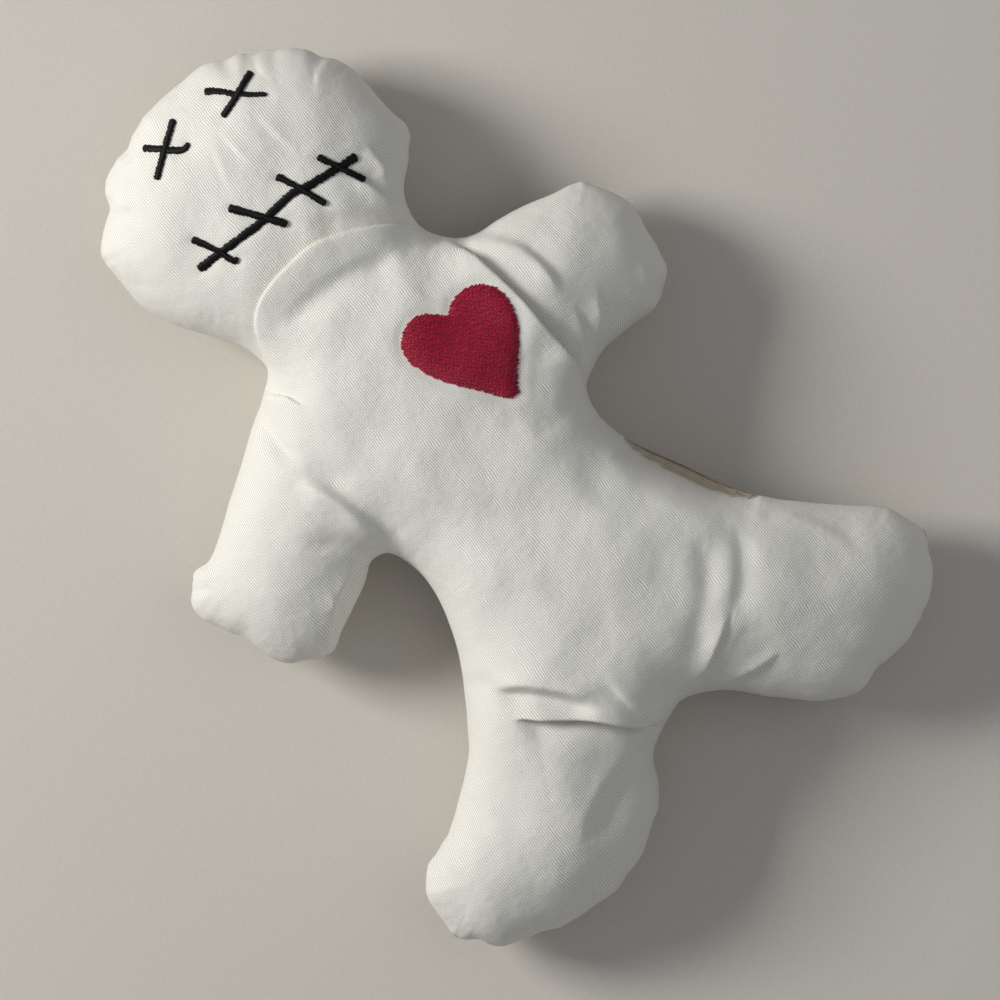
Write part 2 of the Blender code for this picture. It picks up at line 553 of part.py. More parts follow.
def build_stuffing(front, back, material, collection):
    """The fibre filling: two cushions, one behind each panel, joined inside the allowances.

    Each cushion starts under its panel's own surface. Wherever it, grown by the clearance, would
    touch a panel, its points there are pressed in until it is clear.
    """
    groove = SEAM_GAP + CLOTH + CLEARANCE
    vertices, faces, press, starts = [], [], [], []
    for edge, z_of, side in ((FRONT_EDGE, front_z, 1), (SEAM, back_z, -1)):
        loop = stitched_outline(edge, STUFFING_RIM_STEP)
        count = len(loop)
        outer = inset(loop, RIM_RINGS[-1])
        ring = inset(loop, RIM_RINGS[-1] + STUFFING_RIM)
        margin = STUFFING_RIM + 0.45 * STUFFING_STEP
        field = thinned(lattice(outer, STUFFING_STEP, margin), ring, ROOMY * STUFFING_STEP)
        points, triangles = filled(outer, np.vstack([ring, field]))
        z = z_of(points) - side * (CLOTH + CLEARANCE)
        z[:count] = seam_height(outer) + side * groove
        inner = inset(loop, SEAM_ALLOWANCE + GROOVE_ROOM)
        starts.append(len(vertices) + len(points))
        faces += [tuple(len(vertices) + i for i in f) for f in triangles]
        faces += strip(len(vertices), starts[-1], count)
        vertices += list(np.column_stack([points, z]))
        vertices += list(np.column_stack([inner, seam_height(inner) + side * groove]))
        press += [0] * count + [-side] * (len(points) - count) + [0] * count
    faces += strip(starts[0], starts[1], count)
    vertices = pressed(np.array(vertices), faces, np.array(press), [front, back])
    return new_object("stuffing", vertices, faces, material, collection)


def pressed(vertices, faces, press, panels):
    """The vertices, each moved along Z by its share of press until the faces clear the panels."""
    trees = [evaluated_tree(panel_piece) for panel_piece in panels]
    for _ in range(PRESS_ROUNDS):
        grown = vertices.copy()
        grown[:, 2] -= press * CLEARANCE
        body = BVHTree.FromPolygons([tuple(v) for v in grown], faces)
        touched = {face for tree in trees for face, _ in body.overlap(tree)}
        if not touched:
            break
        moved = np.zeros(len(vertices), bool)
        for face in touched:
            moved[list(faces[face])] = True
        vertices[:, 2] += moved * press * PRESS_STEP
    return vertices


def skin_lookup(piece):
    """Height of a panel's outer face under any point, read from its finished mesh."""
    body = bmesh.new()
    body.from_mesh(piece.data)
    tree = BVHTree.FromBMesh(body)
    body.free()

    def height(xy):
        return np.array([tree.ray_cast(Vector((x, y, 1.0)), Vector((0, 0, -1)))[0].z for x, y in xy])

    return height


def satin_bar(line, width, lift, height, skin):
    """A satin-stitched bar: a low round ridge carried along a line that lies on the cloth."""
    line = smooth_line(line, BAR_STEP) if len(line) > 2 else even_line(line, BAR_STEP)
    tangent = np.gradient(line, axis=0)
    tangent /= np.linalg.norm(tangent, axis=1, keepdims=True)
    normal = np.stack([-tangent[:, 1], tangent[:, 0]], 1)
    across = np.array([-0.5, -0.42, 0.0, 0.42, 0.5, 0.0])
    proud = np.array([0.25, 0.75, 1.0, 0.75, 0.25, 0.0])
    taper = np.ones(len(line))
    taper[[0, -1]] = BAR_END
    vertices = []
    for point, side, share in zip(line, normal, taper):
        section = point + side * (across * width * share)[:, None]
        base = skin(section) + CLEARANCE + lift
        z = base + proud * height * share
        z[2] = max(z[2], z[[1, 3]].max())
        vertices += list(np.column_stack([section, z]))
    size = len(across)
    faces = [tuple(range(size)), tuple(range(len(vertices) - size, len(vertices)))]
    for i in range(len(line) - 1):
        faces += strip(i * size, (i + 1) * size, size)
    return vertices, faces


def embroidered(name, bars, skin, material, collection, guides):
    """Satin bars that cross, joined into one piece. A later bar is stitched over the earlier ones."""
    pieces = []
    for i, (line, width) in enumerate(bars):
        height = SATIN_HEIGHT * (CROSSING_RISE if i else 1)
        vertices, faces = satin_bar(line, width, BAR_LIFT * i, height, skin)
        target = collection if i == 0 else guides
        pieces.append(new_object(name if i == 0 else f"{name}_bar_{i}", vertices, faces, material, target))
    for bar in pieces[1:]:
        bar.hide_render = True
        bar.display_type = "WIRE"
        union = pieces[0].modifiers.new(bar.name, "BOOLEAN")
        union.operation = "UNION"
        union.object = bar
    return pieces[0]


def build_heart(skin, material, collection):
    """The fill-stitched heart: a thin patch with a rounded edge that lies on the cloth."""
    loop = even_loop(smooth_loop(placed(HEART, HEART_CENTRE, HEART_WIDTH)), HEART_EDGE_STEP)
    ring = inset(loop, HEART_BORDER)
    inner = np.vstack([ring, thinned(lattice(loop, HEART_STEP, HEART_EDGE_STEP), ring, ROOMY * HEART_STEP)])
    points, triangles = filled(loop, inner)
    base = skin(points) + CLEARANCE
    rise = np.full(len(points), HEART_HEIGHT)
    rise[:len(loop)] = HEART_EDGE_SHARE * HEART_HEIGHT
    vertices = np.vstack([np.column_stack([points, base + rise]), np.column_stack([points, base])])
    count = len(points)
    underside = [tuple(count + i for i in reversed(f)) for f in triangles]
    faces = triangles + underside + strip(0, count, len(loop))
    return new_object("heart_embroidery", vertices, faces, material, collection)


def build_closing_stitches(skin, material, collection):
    """Hand overcasting: a thread that climbs from the back's edge over the front's, stitch by stitch."""
    first, last = GAP_SPAN
    edge = FRONT_EDGE[first + GAP_END:last - GAP_END]
    normal = loop_normals(FRONT_EDGE, GAP_WINDOW)[first + GAP_END:last - GAP_END]
    run = run_of(edge)
    stitches = int(run[-1] // STITCH_PITCH)
    at = np.linspace(0, stitches * STITCH_PITCH, stitches * POINTS_PER_STITCH + 1)
    foot = np.stack([np.interp(at, run, edge[:, k]) for k in (0, 1)], 1)
    out = np.stack([np.interp(at, run, normal[:, k]) for k in (0, 1)], 1)
    share = (1 - np.cos(np.arange(len(at)) * 2 * math.pi / POINTS_PER_STITCH)) / 2
    clear = CLEARANCE + THREAD_RADIUS
    low = foot + out * STITCH_BITE
    high = foot - out * RIM_RINGS[0]
    bottom = np.column_stack([low, seam_height(low) + clear])
    top = np.column_stack([high + out * 1.2 * clear, skin(high) + 0.4 * clear])
    path = bottom + (top - bottom) * share[:, None]
    curve = bpy.data.curves.new("closing_stitches", "CURVE")
    curve.dimensions = "3D"
    spline = curve.splines.new("POLY")
    spline.points.add(len(at) - 1)
    for point, place in zip(spline.points, path):
        point.co = (*place, 1)
    curve.bevel_depth = THREAD_RADIUS
    curve.bevel_resolution = 1
    curve.use_fill_caps = True
    curve.materials.append(material)
    piece = bpy.data.objects.new("closing_stitches", curve)
    collection.objects.link(piece)
    return piece


def on_face(points):
    return placed(points, HEAD_CENTRE, HEAD_HALF_WIDTH)


def bars_from(spec):
    return [(on_face([(x0, y0), (x1, y1)]), width * MM) for x0, y0, x1, y1, width in spec]


def main():
    for old in list(bpy.data.objects):
        bpy.data.objects.remove(old, do_unlink=True)
    doll = bpy.data.collections.new("voodoo_doll")
    guides = bpy.data.collections.new("stitch_bars")
    bpy.context.scene.collection.children.link(doll)
    bpy.context.scene.collection.children.link(guides)
    calico = cotton("natural calico", (0.80, 0.78, 0.73), 0.9)
    fibre = cotton("polyester fibre", (0.85, 0.85, 0.84), 0.95)
    black = cotton("black embroidery thread", (0.006, 0.006, 0.007), 0.45)
    crimson = cotton("crimson embroidery thread", (0.30, 0.005, 0.03), 0.45)
    sewing = cotton("natural sewing thread", (0.72, 0.70, 0.65), 0.7)

    front = panel("front_panel", FRONT_EDGE, FRONT_STEP, FRONT_FOLDS, front_z, True, calico, doll)
    back = panel("back_panel", SEAM, BACK_STEP, BACK_FOLDS, back_z, False, calico, doll)
    build_stuffing(front, back, fibre, doll)
    skin = skin_lookup(front)
    embroidered("eye_left", bars_from(LEFT_EYE), skin, black, doll, guides)
    embroidered("eye_right", bars_from(RIGHT_EYE), skin, black, doll, guides)
    mouth = [(on_face(MOUTH_LINE), MOUTH_WIDTH)] + bars_from(MOUTH_BARS)
    embroidered("mouth_stitches", mouth, skin, black, doll, guides)
    build_heart(skin, crimson, doll)
    build_closing_stitches(skin, sewing, doll)


main()
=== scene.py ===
"""The looks of a voodoo doll sewn from natural calico, stuffed, and lying on its back.

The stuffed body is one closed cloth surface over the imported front, back and filling. Its height is
that of a skin pressed out by an even filling, with the folds, the seam's puckers and the lumps of
the filling laid over it. The eyes, the mouth and the heart are made stitch by stitch on that cloth.

Lengths are in millimetres up to the point where a mesh is made, and the frame is in metres.
"""

import math

import bpy
import numpy as np
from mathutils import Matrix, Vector
from mathutils.bvhtree import BVHTree
from mathutils.geometry import delaunay_2d_cdt
from mathutils.kdtree import KDTree


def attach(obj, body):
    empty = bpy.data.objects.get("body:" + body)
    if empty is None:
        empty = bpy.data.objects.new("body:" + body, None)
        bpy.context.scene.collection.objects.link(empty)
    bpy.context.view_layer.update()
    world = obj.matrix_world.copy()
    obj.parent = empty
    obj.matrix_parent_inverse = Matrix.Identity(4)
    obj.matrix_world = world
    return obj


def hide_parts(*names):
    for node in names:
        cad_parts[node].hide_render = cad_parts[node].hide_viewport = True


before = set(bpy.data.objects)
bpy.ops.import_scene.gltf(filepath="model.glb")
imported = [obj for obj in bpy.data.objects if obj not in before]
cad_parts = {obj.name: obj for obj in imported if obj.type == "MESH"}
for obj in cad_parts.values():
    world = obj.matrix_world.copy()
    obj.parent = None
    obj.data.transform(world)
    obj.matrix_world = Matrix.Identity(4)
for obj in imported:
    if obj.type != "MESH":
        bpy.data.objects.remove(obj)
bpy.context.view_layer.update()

MM = 0.001

# The seam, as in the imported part, in millimetres
HEAD_CENTRE = (2.6, 76.0)
HEAD_HALF_WIDTH = 38.6
HEAD_HALF_HEIGHT = 31.0
HEAD_SWEEP = (-16, 214)
LEFT_NECK = [(-26, 52.6), (-23.8, 49), (-22.6, 45), (-22.5, 40.5)]
LEFT_SHOULDER = [(-27, 36.6), (-36, 31)]
LEFT_HAND = [(-45, 25), (-50.8, 21.3), (-55.5, 18.1), (-60, 15.4), (-64, 13.9), (-67.6, 14.2),
             (-70.4, 12.6), (-72.4, 9.6), (-73.1, 6.2), (-72.4, 2.8), (-71, -1.2), (-69.1, -5.4),
             (-67.4, -9.6), (-66.2, -13.5), (-64.2, -16.6), (-61.2, -18.9), (-58.7, -20.8), (-55.8, -22.2),
             (-52.6, -21.9), (-50.2, -20.2), (-46.7, -18.6), (-41.7, -16.3), (-36.7, -13.8)]
LEFT_ARMPIT = [(-33.1, -11.4), (-28.7, -12.6)]
LEFT_SIDE = [(-26.1, -19), (-26.2, -27), (-30, -39.5), (-37, -51.5), (-45, -62.4)]
LEFT_FOOT = [(-53, -69), (-61, -74.1), (-69, -76.8), (-73.6, -82.5), (-74.7, -92), (-71.2, -98.8),
             (-65.5, -104.4), (-55, -108.4), (-43, -110.1), (-32, -109.4), (-22.5, -105),
             (-14, -98.2), (-10, -91.2)]
CROTCH = [(-6, -88.7), (-1.5, -86.6), (3.5, -85.2), (8.5, -87)]
RIGHT_FOOT = [(13.4, -90.2), (20.5, -98), (27.5, -105.4), (36, -110.3), (47, -109.6), (57.5, -108.6),
              (66, -103.6), (72.8, -97.2), (74.4, -90.2), (71.6, -82.4), (66, -76), (60, -70),
              (53.4, -63.2)]
RIGHT_SIDE = [(47, -54.6), (40.2, -40.5), (34.4, -28.5), (32.6, -19.5)]
RIGHT_ARMPIT = [(34.6, -12.2), (39.4, -9.6)]
RIGHT_HAND = [(44.5, -7.8), (52.8, -7.7), (60, -7.7), (63.2, -7), (65.6, -4.6), (67.8, -1.6),
              (68.6, 1.6), (69.3, 5.2), (70.3, 8.6), (71.3, 12.6), (70.9, 16.6), (69.6, 20), (67.4, 23.6),
              (65.4, 26.8), (62.6, 28), (58.5, 28.7), (54.5, 30), (49.5, 31.7), (44.5, 32.6)]
RIGHT_SHOULDER = [(36, 34), (31, 38)]
RIGHT_NECK = [(28.4, 43.5), (29.2, 49.4), (31.2, 53), (34.8, 56), (38, 59.2), (40.3, 62.4)]
GATHERS = [  # x, y, push outwards and reach
    (-14.2, 104.4, -0.9, 2.2), (-22.5, 101.6, 1.3, 4.4), (-27.6, 94.6, -1.6, 2.4), (-35.4, 86, 1.8, 5),
    (24.5, 101.6, -0.8, 2.2), (35.9, 89.8, -0.9, 2.4), (40.9, 78, -0.8, 5), (41, 65.6, 1.2, 3),
    (-31.4, 58.4, 0.7, 4), (-70.4, -98.6, -1, 2), (-74, -94, 0.8, 2.6), (-66, -75.6, -0.6, 2),
    (72.6, -96.4, -0.8, 2), (74.4, -91.5, 0.8, 2.4), (71.5, -80.5, 0.6, 2.6), (58, -107.6, -0.7, 2.4),
    (-57.5, -108.4, -0.6, 2.4),
]

# The body's form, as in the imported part
SEAM_HEIGHT = 19.0
ARM_DROOP = 4.0
LEG_DROOP = 3.0
ARMS_FROM = 37.5  # half of the arms' reach, where they begin to droop
ARMS_LOW, ARMS_HIGH = -45, -25  # between these the droop goes over from the legs to the arms
LEGS_FROM, LEGS_SPAN = -49, -54  # where the legs begin to droop, and how far down it grows
FRONT_LOFT, FRONT_LIMIT = 1.05, 31.0
BACK_LOFT, BACK_LIMIT = 0.88, 27.0
FLAT_BLEND = 1.0
LUMP_SIZE, LUMP_HEIGHT = 26, 0.30  # of the filling
SMALL_LUMP_SIZE, SMALL_LUMP_HEIGHT = 11, 0.08

# Mesh spacing
SHEET_STEP = 3.1  # of the sheet before it is divided twice
DIVISIONS = 2
RIM_STEP = 0.78  # along the seam
RIM_WIDTH = 3.2  # the steep rim just inside the seam, which is a grid of its own
RIM_ROWS = 8
STEEPEST = 12.0  # slope that is still drawn out when the cloth is laid flat
FLATTEN_ROUNDS = 260

# Folds: name, ridge height, valley depth, reach of each, sharpness of the step, and the line.
# The ridge lies to the left of the line's direction and the valley to its right.
FRONT_FOLDS = [
    ("neck arch", 2, 2.6, 4.2, 3.4, 0.5,
     [(28, 42.6), (25.6, 45.2), (18.2, 50), (9.7, 53.8), (4, 55.2), (-2, 55), (-8, 54.4),
      (-13.2, 53), (-17, 50.2), (-19.7, 45.6), (-21.4, 41.6)]),
    ("neck hollow", 0.1, 2.4, 4, 5.4, 2.4,
     [(-14, 45.6), (-6, 47), (4, 46.6), (13, 44.4), (21, 41)]),
    ("right neck hollow", 0.2, 2.2, 3, 6, 2.4,
     [(7.4, 62.4), (13, 58.6), (18.4, 54.6), (24, 49.6), (27.6, 45)]),
    ("right neck pull", 1.6, 2, 2.2, 2.6, 0.5,
     [(28.2, 43.6), (27.4, 47.4), (25.6, 55.4), (22.4, 64.6)]),
    ("right cheek pull", 1.6, 2.6, 2.2, 3.6, 0.5,
     [(28.4, 44), (29.4, 51.8), (30.4, 60), (31.2, 66.6)]),
    ("right jaw", 1, 1.4, 2.4, 2.4, 0.5, [(30, 52), (33.4, 55.4), (36.8, 57.8)]),
    ("brow left", 0.35, 0.30, 2, 2, 0.8, [(1.6, 91), (0.2, 85), (-2.6, 77)]),
    ("brow middle", 0.40, 0.35, 1.8, 2, 0.6, [(5.2, 93), (5.5, 86), (6.4, 77)]),
    ("brow right", 0.35, 0.30, 2, 2.2, 0.8, [(14.6, 90), (15.2, 82), (16.6, 74)]),
    ("right armhole", 1.8, 4.2, 6, 3.9, 0.4,
     [(34, -16), (34.9, -11), (35.2, -4), (34.7, 4.6), (34.2, 13.9), (33.1, 25), (32, 35.4)]),
    ("right arm ridge", 1.3, 1, 3.4, 4, 0.8,
     [(44.4, 8), (45.2, 16), (43.8, 24), (40.8, 29), (37.4, 33)]),
    ("right armpit first", 0.8, 1.1, 2.2, 2.2, 0.5, [(36.2, -10.2), (40.4, -4.6), (43, 0), (45.2, 5.6)]),
    ("right armpit second", 1.4, 1.5, 2.8, 2.6, 0.6,
     [(37.6, -10.2), (42.6, -6.6), (47.6, -2), (52, 4.6)]),
    ("right underarm crease", 0.6, 0.8, 2, 1.6, 0.5, [(59.4, -6.6), (61, -3.6), (63.4, 0.4)]),
    ("right flank hollow", 0.2, 1.4, 4, 6, 2, [(35.6, -5), (30.4, -1.2), (24, 3)]),
    ("waist right", 0.1, 1.3, 4, 7, 2, [(33, -18), (26, -16), (16, -14.6)]),
    ("heart pull", 0.5, 0.5, 2.2, 2.2, 0.8, [(18.9, 26.4), (18.4, 30), (16.4, 34.6)]),
    ("left armhole", 2.4, 1.3, 3.6, 7, 1.6,
     [(-27.2, -10.2), (-27.8, -4), (-28.6, 2.2), (-30.4, 9), (-33.4, 16)]),
    ("left arm valley", 0.1, 1.3, 4, 6, 2.6, [(-27.6, 2), (-29.4, 12), (-31, 22), (-31.6, 30)]),
    ("left armpit", 0.4, 1.4, 3.4, 4.6, 1.8, [(-30.5, -10.6), (-35.6, -6.4), (-40.2, -1.4), (-43, 2.6)]),
    ("left underarm wall", 0.8, 2.6, 2.4, 5, 0.4,
     [(-51, -19.4), (-48.4, -16.4), (-45, -13.6), (-40.6, -11.4), (-35.4, -10.6)]),
    ("left arm pocket", 0.5, 1.6, 3.6, 3, 0.9, [(-53.4, 19), (-56, 15.4), (-57.6, 10.6)]),
    ("left shoulder hollow", 0.3, 3, 4, 4.4, 1.2,
     [(-27.6, 37), (-29.6, 31), (-30.6, 24), (-29.8, 16)]),
    ("left shoulder roll", 1.5, 2.6, 2.8, 2.4, 0.5, [(-20.4, 26), (-23.4, 31.4), (-27, 37)]),
    ("left wrist pucker", 0.5, 0.9, 2.4, 2, 0.6, [(-49.2, -19.2), (-48.6, -16.4), (-46.4, -13.4)]),
    ("left hip upper", 1.8, 3.2, 4.2, 5, 0.8,
     [(-30.8, -52.8), (-28.4, -55.2), (-24.2, -58.6), (-19.4, -63.2), (-15, -68.4), (-11.4, -73.6)]),
    ("left hip side", 0.2, 1.6, 4, 4.4, 1.6, [(-34.6, -46.8), (-30, -50.6), (-25.6, -55.6)]),
    ("left hip deep", 2, 4.4, 6, 6.6, 0.4,
     [(-31.4, -62.8), (-26.8, -64.6), (-23.2, -67), (-19.6, -69.8), (-15.6, -73.4), (-12.6, -77),
      (-9.6, -80.6), (-6.4, -83.9), (-2.6, -86.9)]),
    ("belly pull", 0.5, 0.8, 2.2, 2.6, 0.9, [(-7.6, -67), (-6.8, -75), (-4.6, -83)]),
    ("left leg edge", 0.6, 2.6, 2.8, 8, 1.2,
     [(-37, -97), (-30.5, -92.6), (-23.5, -89.6), (-18, -88.2), (-12, -87.2), (-7, -86.4),
      (-3.4, -85.4)]),
    ("right hip", 1.1, 1.1, 2.8, 1.3, 0.35,
     [(4, -85.8), (10, -84.2), (16, -81.4), (21.6, -78.4), (26.4, -75.8)]),
    ("right hip valley", 0.3, 1.5, 3.4, 4, 2,
     [(23, -77.2), (30, -72.4), (36.6, -65.6), (40, -59)]),
    ("right hip hollow", 0.1, 1.7, 4, 5.2, 2.6,
     [(9, -78.6), (16, -73.4), (22, -68.2), (27.2, -62.6), (31, -55)]),
    ("right hip second", 0.2, 0.3, 2.2, 2, 0.9,
     [(6.4, -87), (14, -85), (20.4, -83.2), (29, -79.4)]),
    ("right leg crease", 0.9, 1.2, 2.4, 1.8, 0.4,
     [(11.6, -88.6), (17, -89.8), (22.4, -90.6), (30, -91.8)]),
    ("right leg ridge", 0.8, 0.3, 3, 4.4, 1.4, [(59.4, -87), (58.6, -80), (56.4, -73), (52, -66)]),
    ("crown left", 0.8, 1, 3, 2.4, 0.8, [(-27.6, 93.8), (-24, 91.6), (-19.4, 87.4)]),
    ("crown left second", 0.5, 0.8, 2.6, 2.2, 0.7, [(-14.4, 104), (-14.4, 99.6), (-16.4, 95)]),
    ("crown right", 0.5, 0.8, 2.6, 2.2, 0.7, [(24.2, 101.2), (22.4, 96.6), (22.6, 91)]),
    ("temple right", 0.4, 0.7, 2.6, 2.4, 0.7, [(36, 89.4), (31.4, 86.6), (28, 82)]),
    ("left foot pucker", 0.7, 1.2, 2.2, 2, 0.5, [(-65.4, -76), (-65, -79.6), (-65.6, -84)]),
    ("left foot top", 0.3, 0.7, 3, 3, 1, [(-51.4, -68.6), (-50.6, -74), (-51.6, -82)]),
    ("left foot top second", 0.3, 0.5, 2.4, 2.4, 0.8, [(-57.6, -72.4), (-57, -77), (-57.6, -83)]),
]
BACK_FOLDS = [
    ("nape", 0.9, 1.5, 5, 5, 1.2, [(27, 44), (14, 48), (2, 49.5), (-10, 48), (-21, 44)]),
    ("right armhole back", 1, 1.6, 6, 5, 1.2, [(35, -10), (36, 4), (34.5, 18), (31, 33)]),
    ("left armhole back", 1, 1.6, 6, 5, 1.2, [(-26, 33), (-30, 18), (-30.5, 2), (-28, -11)]),
    ("left hip back", 1.1, 1.8, 5, 5, 1.2, [(-30, -60), (-20, -69), (-10, -78), (-1, -85.5)]),
    ("right hip back", 1.1, 1.8, 5, 5, 1.2, [(4, -85.5), (14, -78), (25, -69), (36, -60)]),
]
FOLD_SPAN = 2.6  # reaches from its line at which a fold has died away
FOLD_FADE = 8.0  # length over which a fold begins and ends
FOLD_HELD = 5.0  # a fold that ends this close to the seam keeps its full depth there
FOLD_END = 3.0
FOLD_SHARP = 0.7  # how much narrower the sharp bottom of a crisp valley is
FOLD_ROOM = 3.0  # height of bulge at which a fold has its full depth
DEEPEST = 0.6  # share of the bulge that a valley may take away, so that it stays above the seam
FOLD_LEAN = 0.34  # how far a crisp fold's lip leans over its valley, as a share of its height
LEAN_LIMIT = 2.6  # the most that it leans
FOLD_ROW = 1.5  # spacing of the sheet's rows beside a fold's line
CRISP = 0.8  # a fold whose edge is sharper than this leans

# Embroidery: a satin bar is a list of x, y and width along it
LEFT_EYE = [[(-11.3, 99.5, 1.5), (-8.4, 96.7, 1.5), (-5, 93.3, 1.5), (-3.5, 92.7, 1.3),
             (-1.9, 93.2, 0.9)],
            [(-13.6, 91.3, 1.35), (-7.2, 95.9, 1.3), (-1.1, 100.1, 1.45)]]
RIGHT_EYE = [[(8.7, 100.5, 1.6), (11.4, 98.2, 1.35), (13.6, 95.6, 1.2), (16.6, 92.8, 1.1),
              (19.8, 90.2, 1)],
             [(8.1, 92.7, 1.3), (13.6, 94.5, 1.4), (20.5, 97, 1.5)]]
MOUTH_LINE = [(-19.5, 68.3, 1.9), (-13.6, 68.1, 1.6), (-6.4, 67.6, 1.7), (0.7, 67.4, 1.75),
              (9.3, 67.9, 1.7), (13.6, 66.9, 1.75), (21.4, 65.7, 1.7), (26.9, 65.1, 1.85)]
MOUTH_BARS = [[(-16.1, 75, 1.5), (-14.4, 71.6, 1.3), (-12.9, 68, 1.2), (-11.6, 64.4, 1.3),
               (-10.4, 64.6, 1.1)],
              [(-4.6, 75.1, 1.7), (-0.5, 69.2, 1.5), (3.8, 63, 1.7)],
              [(9, 73.6, 1.6), (11, 69, 1.3), (13.9, 60.8, 1.4)],
              [(19.5, 70.9, 1.5), (21.7, 66.2, 1.3), (24.8, 59.3, 1.4)]]
HEART = [(5.2, 20.2), (6.6, 23.9), (9.6, 26.1), (12.9, 26.5), (16, 25), (19.2, 22.2),
         (22, 23.7), (25.2, 24.4), (29.4, 23), (32.2, 19.8), (32.7, 16.4), (31.6, 11.4),
         (28.4, 6.4), (24.6, 2.2), (21.9, -0.8), (20.4, -3.1), (18, -2.6), (14.3, 2.6),
         (10.2, 7.8), (7, 13.4)]
HEART_COLUMN = 1.2  # length of a fill stitch
HEART_ROW = 0.45  # spacing of its rows
SATIN_HEIGHT = 0.8
THREAD_PITCH = 0.38  # spacing of the threads in a satin bar
THREAD_SLANT = 0.35
BAR_SINK, BAR_SINK_REACH = 0.40, 1.5  # how the satin bars pull the cloth down
HEART_SINK, HEART_SINK_REACH = 0.55, 1.7
TUCK_DEPTH = 2.7  # how far the front's edge is turned in at the hand-closed gap
EDGE_ROLL = 0.8  # how proud the turned-in edge stands of the strip of back panel beyond it
GAP_DROP = 3.0  # how much that strip slopes down to the outline
GAP_STEP = 0.9  # how far it lies below the turned-in edge
SQUEEZE_REACH = 9.0  # how far in the tuck draws the cloth in
STITCH_PITCH = 4.2
STITCH_THREAD = 0.15  # its radius
CLOSED_BY_HAND = [(33.2, -27.5), (49.6, -59.5)]

# Puckers along the seam
PUCKER_HEIGHT = 0.30
PUCKER_REACH = 8.0
PUCKER_SPACING = 12.0
SCALLOP_DEPTH = 0.35  # how far the puckers push the outline in and out
SEAM_SINK = 0.25  # how far the seam lies inside the outline

# The cloth simulation of the filling's pressure
SWELL_VOXEL = 4.5
SWELL_SHRINK = 1.0
SWELL_CAP = 0.7
SWELL_FRAMES = 20

# The weave: spacing of the ribs up the doll and of the picks across, and the depth in metres
WARP_PITCH = 0.57
WEFT_PITCH = 0.50
WEAVE_DEPTH = 0.00008

# The view
VIEW_CENTRE = (0.74, -19.83)
VIEW_WIDTH = 240.0
VIEW_ROLL = 39.7
CAMERA_DISTANCE = 3000.0


def srgb(code):
    """Linear colour from an sRGB hex code."""
    c = np.array([int(code[k:k + 2], 16) / 255 for k in (1, 3, 5)])
    return tuple(np.where(c <= 0.04045, c / 12.92, ((c + 0.055) / 1.055) ** 2.4))


# Lines and loops


def seam_landmarks():
    t = np.radians(np.linspace(*HEAD_SWEEP, 26))
    head = np.stack([HEAD_CENTRE[0] + HEAD_HALF_WIDTH * np.cos(t),
                     HEAD_CENTRE[1] + HEAD_HALF_HEIGHT * np.sin(t)], 1)
    return np.concatenate([
        head, LEFT_NECK, LEFT_SHOULDER, LEFT_HAND, LEFT_ARMPIT, LEFT_SIDE, LEFT_FOOT, CROTCH, RIGHT_FOOT,
        RIGHT_SIDE, RIGHT_ARMPIT, RIGHT_HAND, RIGHT_SHOULDER, RIGHT_NECK])


def smooth_loop(points, samples=20):
    """A centripetal Catmull-Rom curve through the points of a closed loop."""
    p0, p1, p2, p3 = (np.roll(points, k, 0)[:, None] for k in (1, 0, -1, -2))
    pairs = ((p0, p1), (p1, p2), (p2, p3))
    d0, d1, d2 = (np.linalg.norm(b - a, axis=2, keepdims=True) ** 0.5 for a, b in pairs)
    m1 = d1 * ((p1 - p0) / d0 - (p2 - p0) / (d0 + d1) + (p2 - p1) / d1)
    m2 = d1 * ((p2 - p1) / d1 - (p3 - p1) / (d1 + d2) + (p3 - p2) / d2)
    t = np.linspace(0, 1, samples, endpoint=False)[None, :, None]
    curve = ((2 * t**3 - 3 * t**2 + 1) * p1 + (t**3 - 2 * t**2 + t) * m1
             + (3 * t**2 - 2 * t**3) * p2 + (t**3 - t**2) * m2)
    return curve.reshape(-1, points.shape[1])


def run_of(line):
    return np.concatenate([[0], np.cumsum(np.linalg.norm(np.diff(line, axis=0), axis=1))])


def even_loop(points, count):
    loop = np.vstack([points, points[:1]])
    run = run_of(loop)
    at = np.linspace(0, run[-1], count, endpoint=False)
    return np.stack([np.interp(at, run, loop[:, k]) for k in (0, 1)], 1)


def even_line(points, step):
    run = run_of(points)
    at = np.linspace(0, run[-1], max(2, round(run[-1] / step) + 1))
    return np.stack([np.interp(at, run, points[:, k]) for k in range(points.shape[1])], 1)


def smooth_line(points, step):
    points = np.asarray(points, float)
    padded = np.vstack([2 * points[:1] - points[1:2], points, 2 * points[-1:] - points[-2:-1]])
    width = points.shape[1]
    curve = smooth_loop(padded).reshape(len(padded), -1, width)[1:-2].reshape(-1, width)
    return even_line(np.vstack([curve, points[-1:]]), step)


def unit(vectors):
    return vectors / np.maximum(np.linalg.norm(vectors, axis=-1, keepdims=True), 1e-12)


def loop_normals(loop, window):
    """Outward normals of an anticlockwise loop, averaged over window points each way."""
    tangent = unit(np.roll(loop, -1, 0) - np.roll(loop, 1, 0))
    tangent = unit(sum(np.roll(tangent, k, 0) for k in range(-window, window + 1)))
    return np.stack([tangent[:, 1], -tangent[:, 0]], 1)


def line_normals(line):
    tangent = unit(np.gradient(line, axis=0))
    return np.stack([-tangent[:, 1], tangent[:, 0]], 1)


def gathered(loop):
    push = np.zeros(len(loop))
    for x, y, amount, reach in GATHERS:
        push += amount * np.exp(-((np.linalg.norm(loop - (x, y), axis=1) / reach) ** 2))
    return loop + loop_normals(loop, 3) * push[:, None]


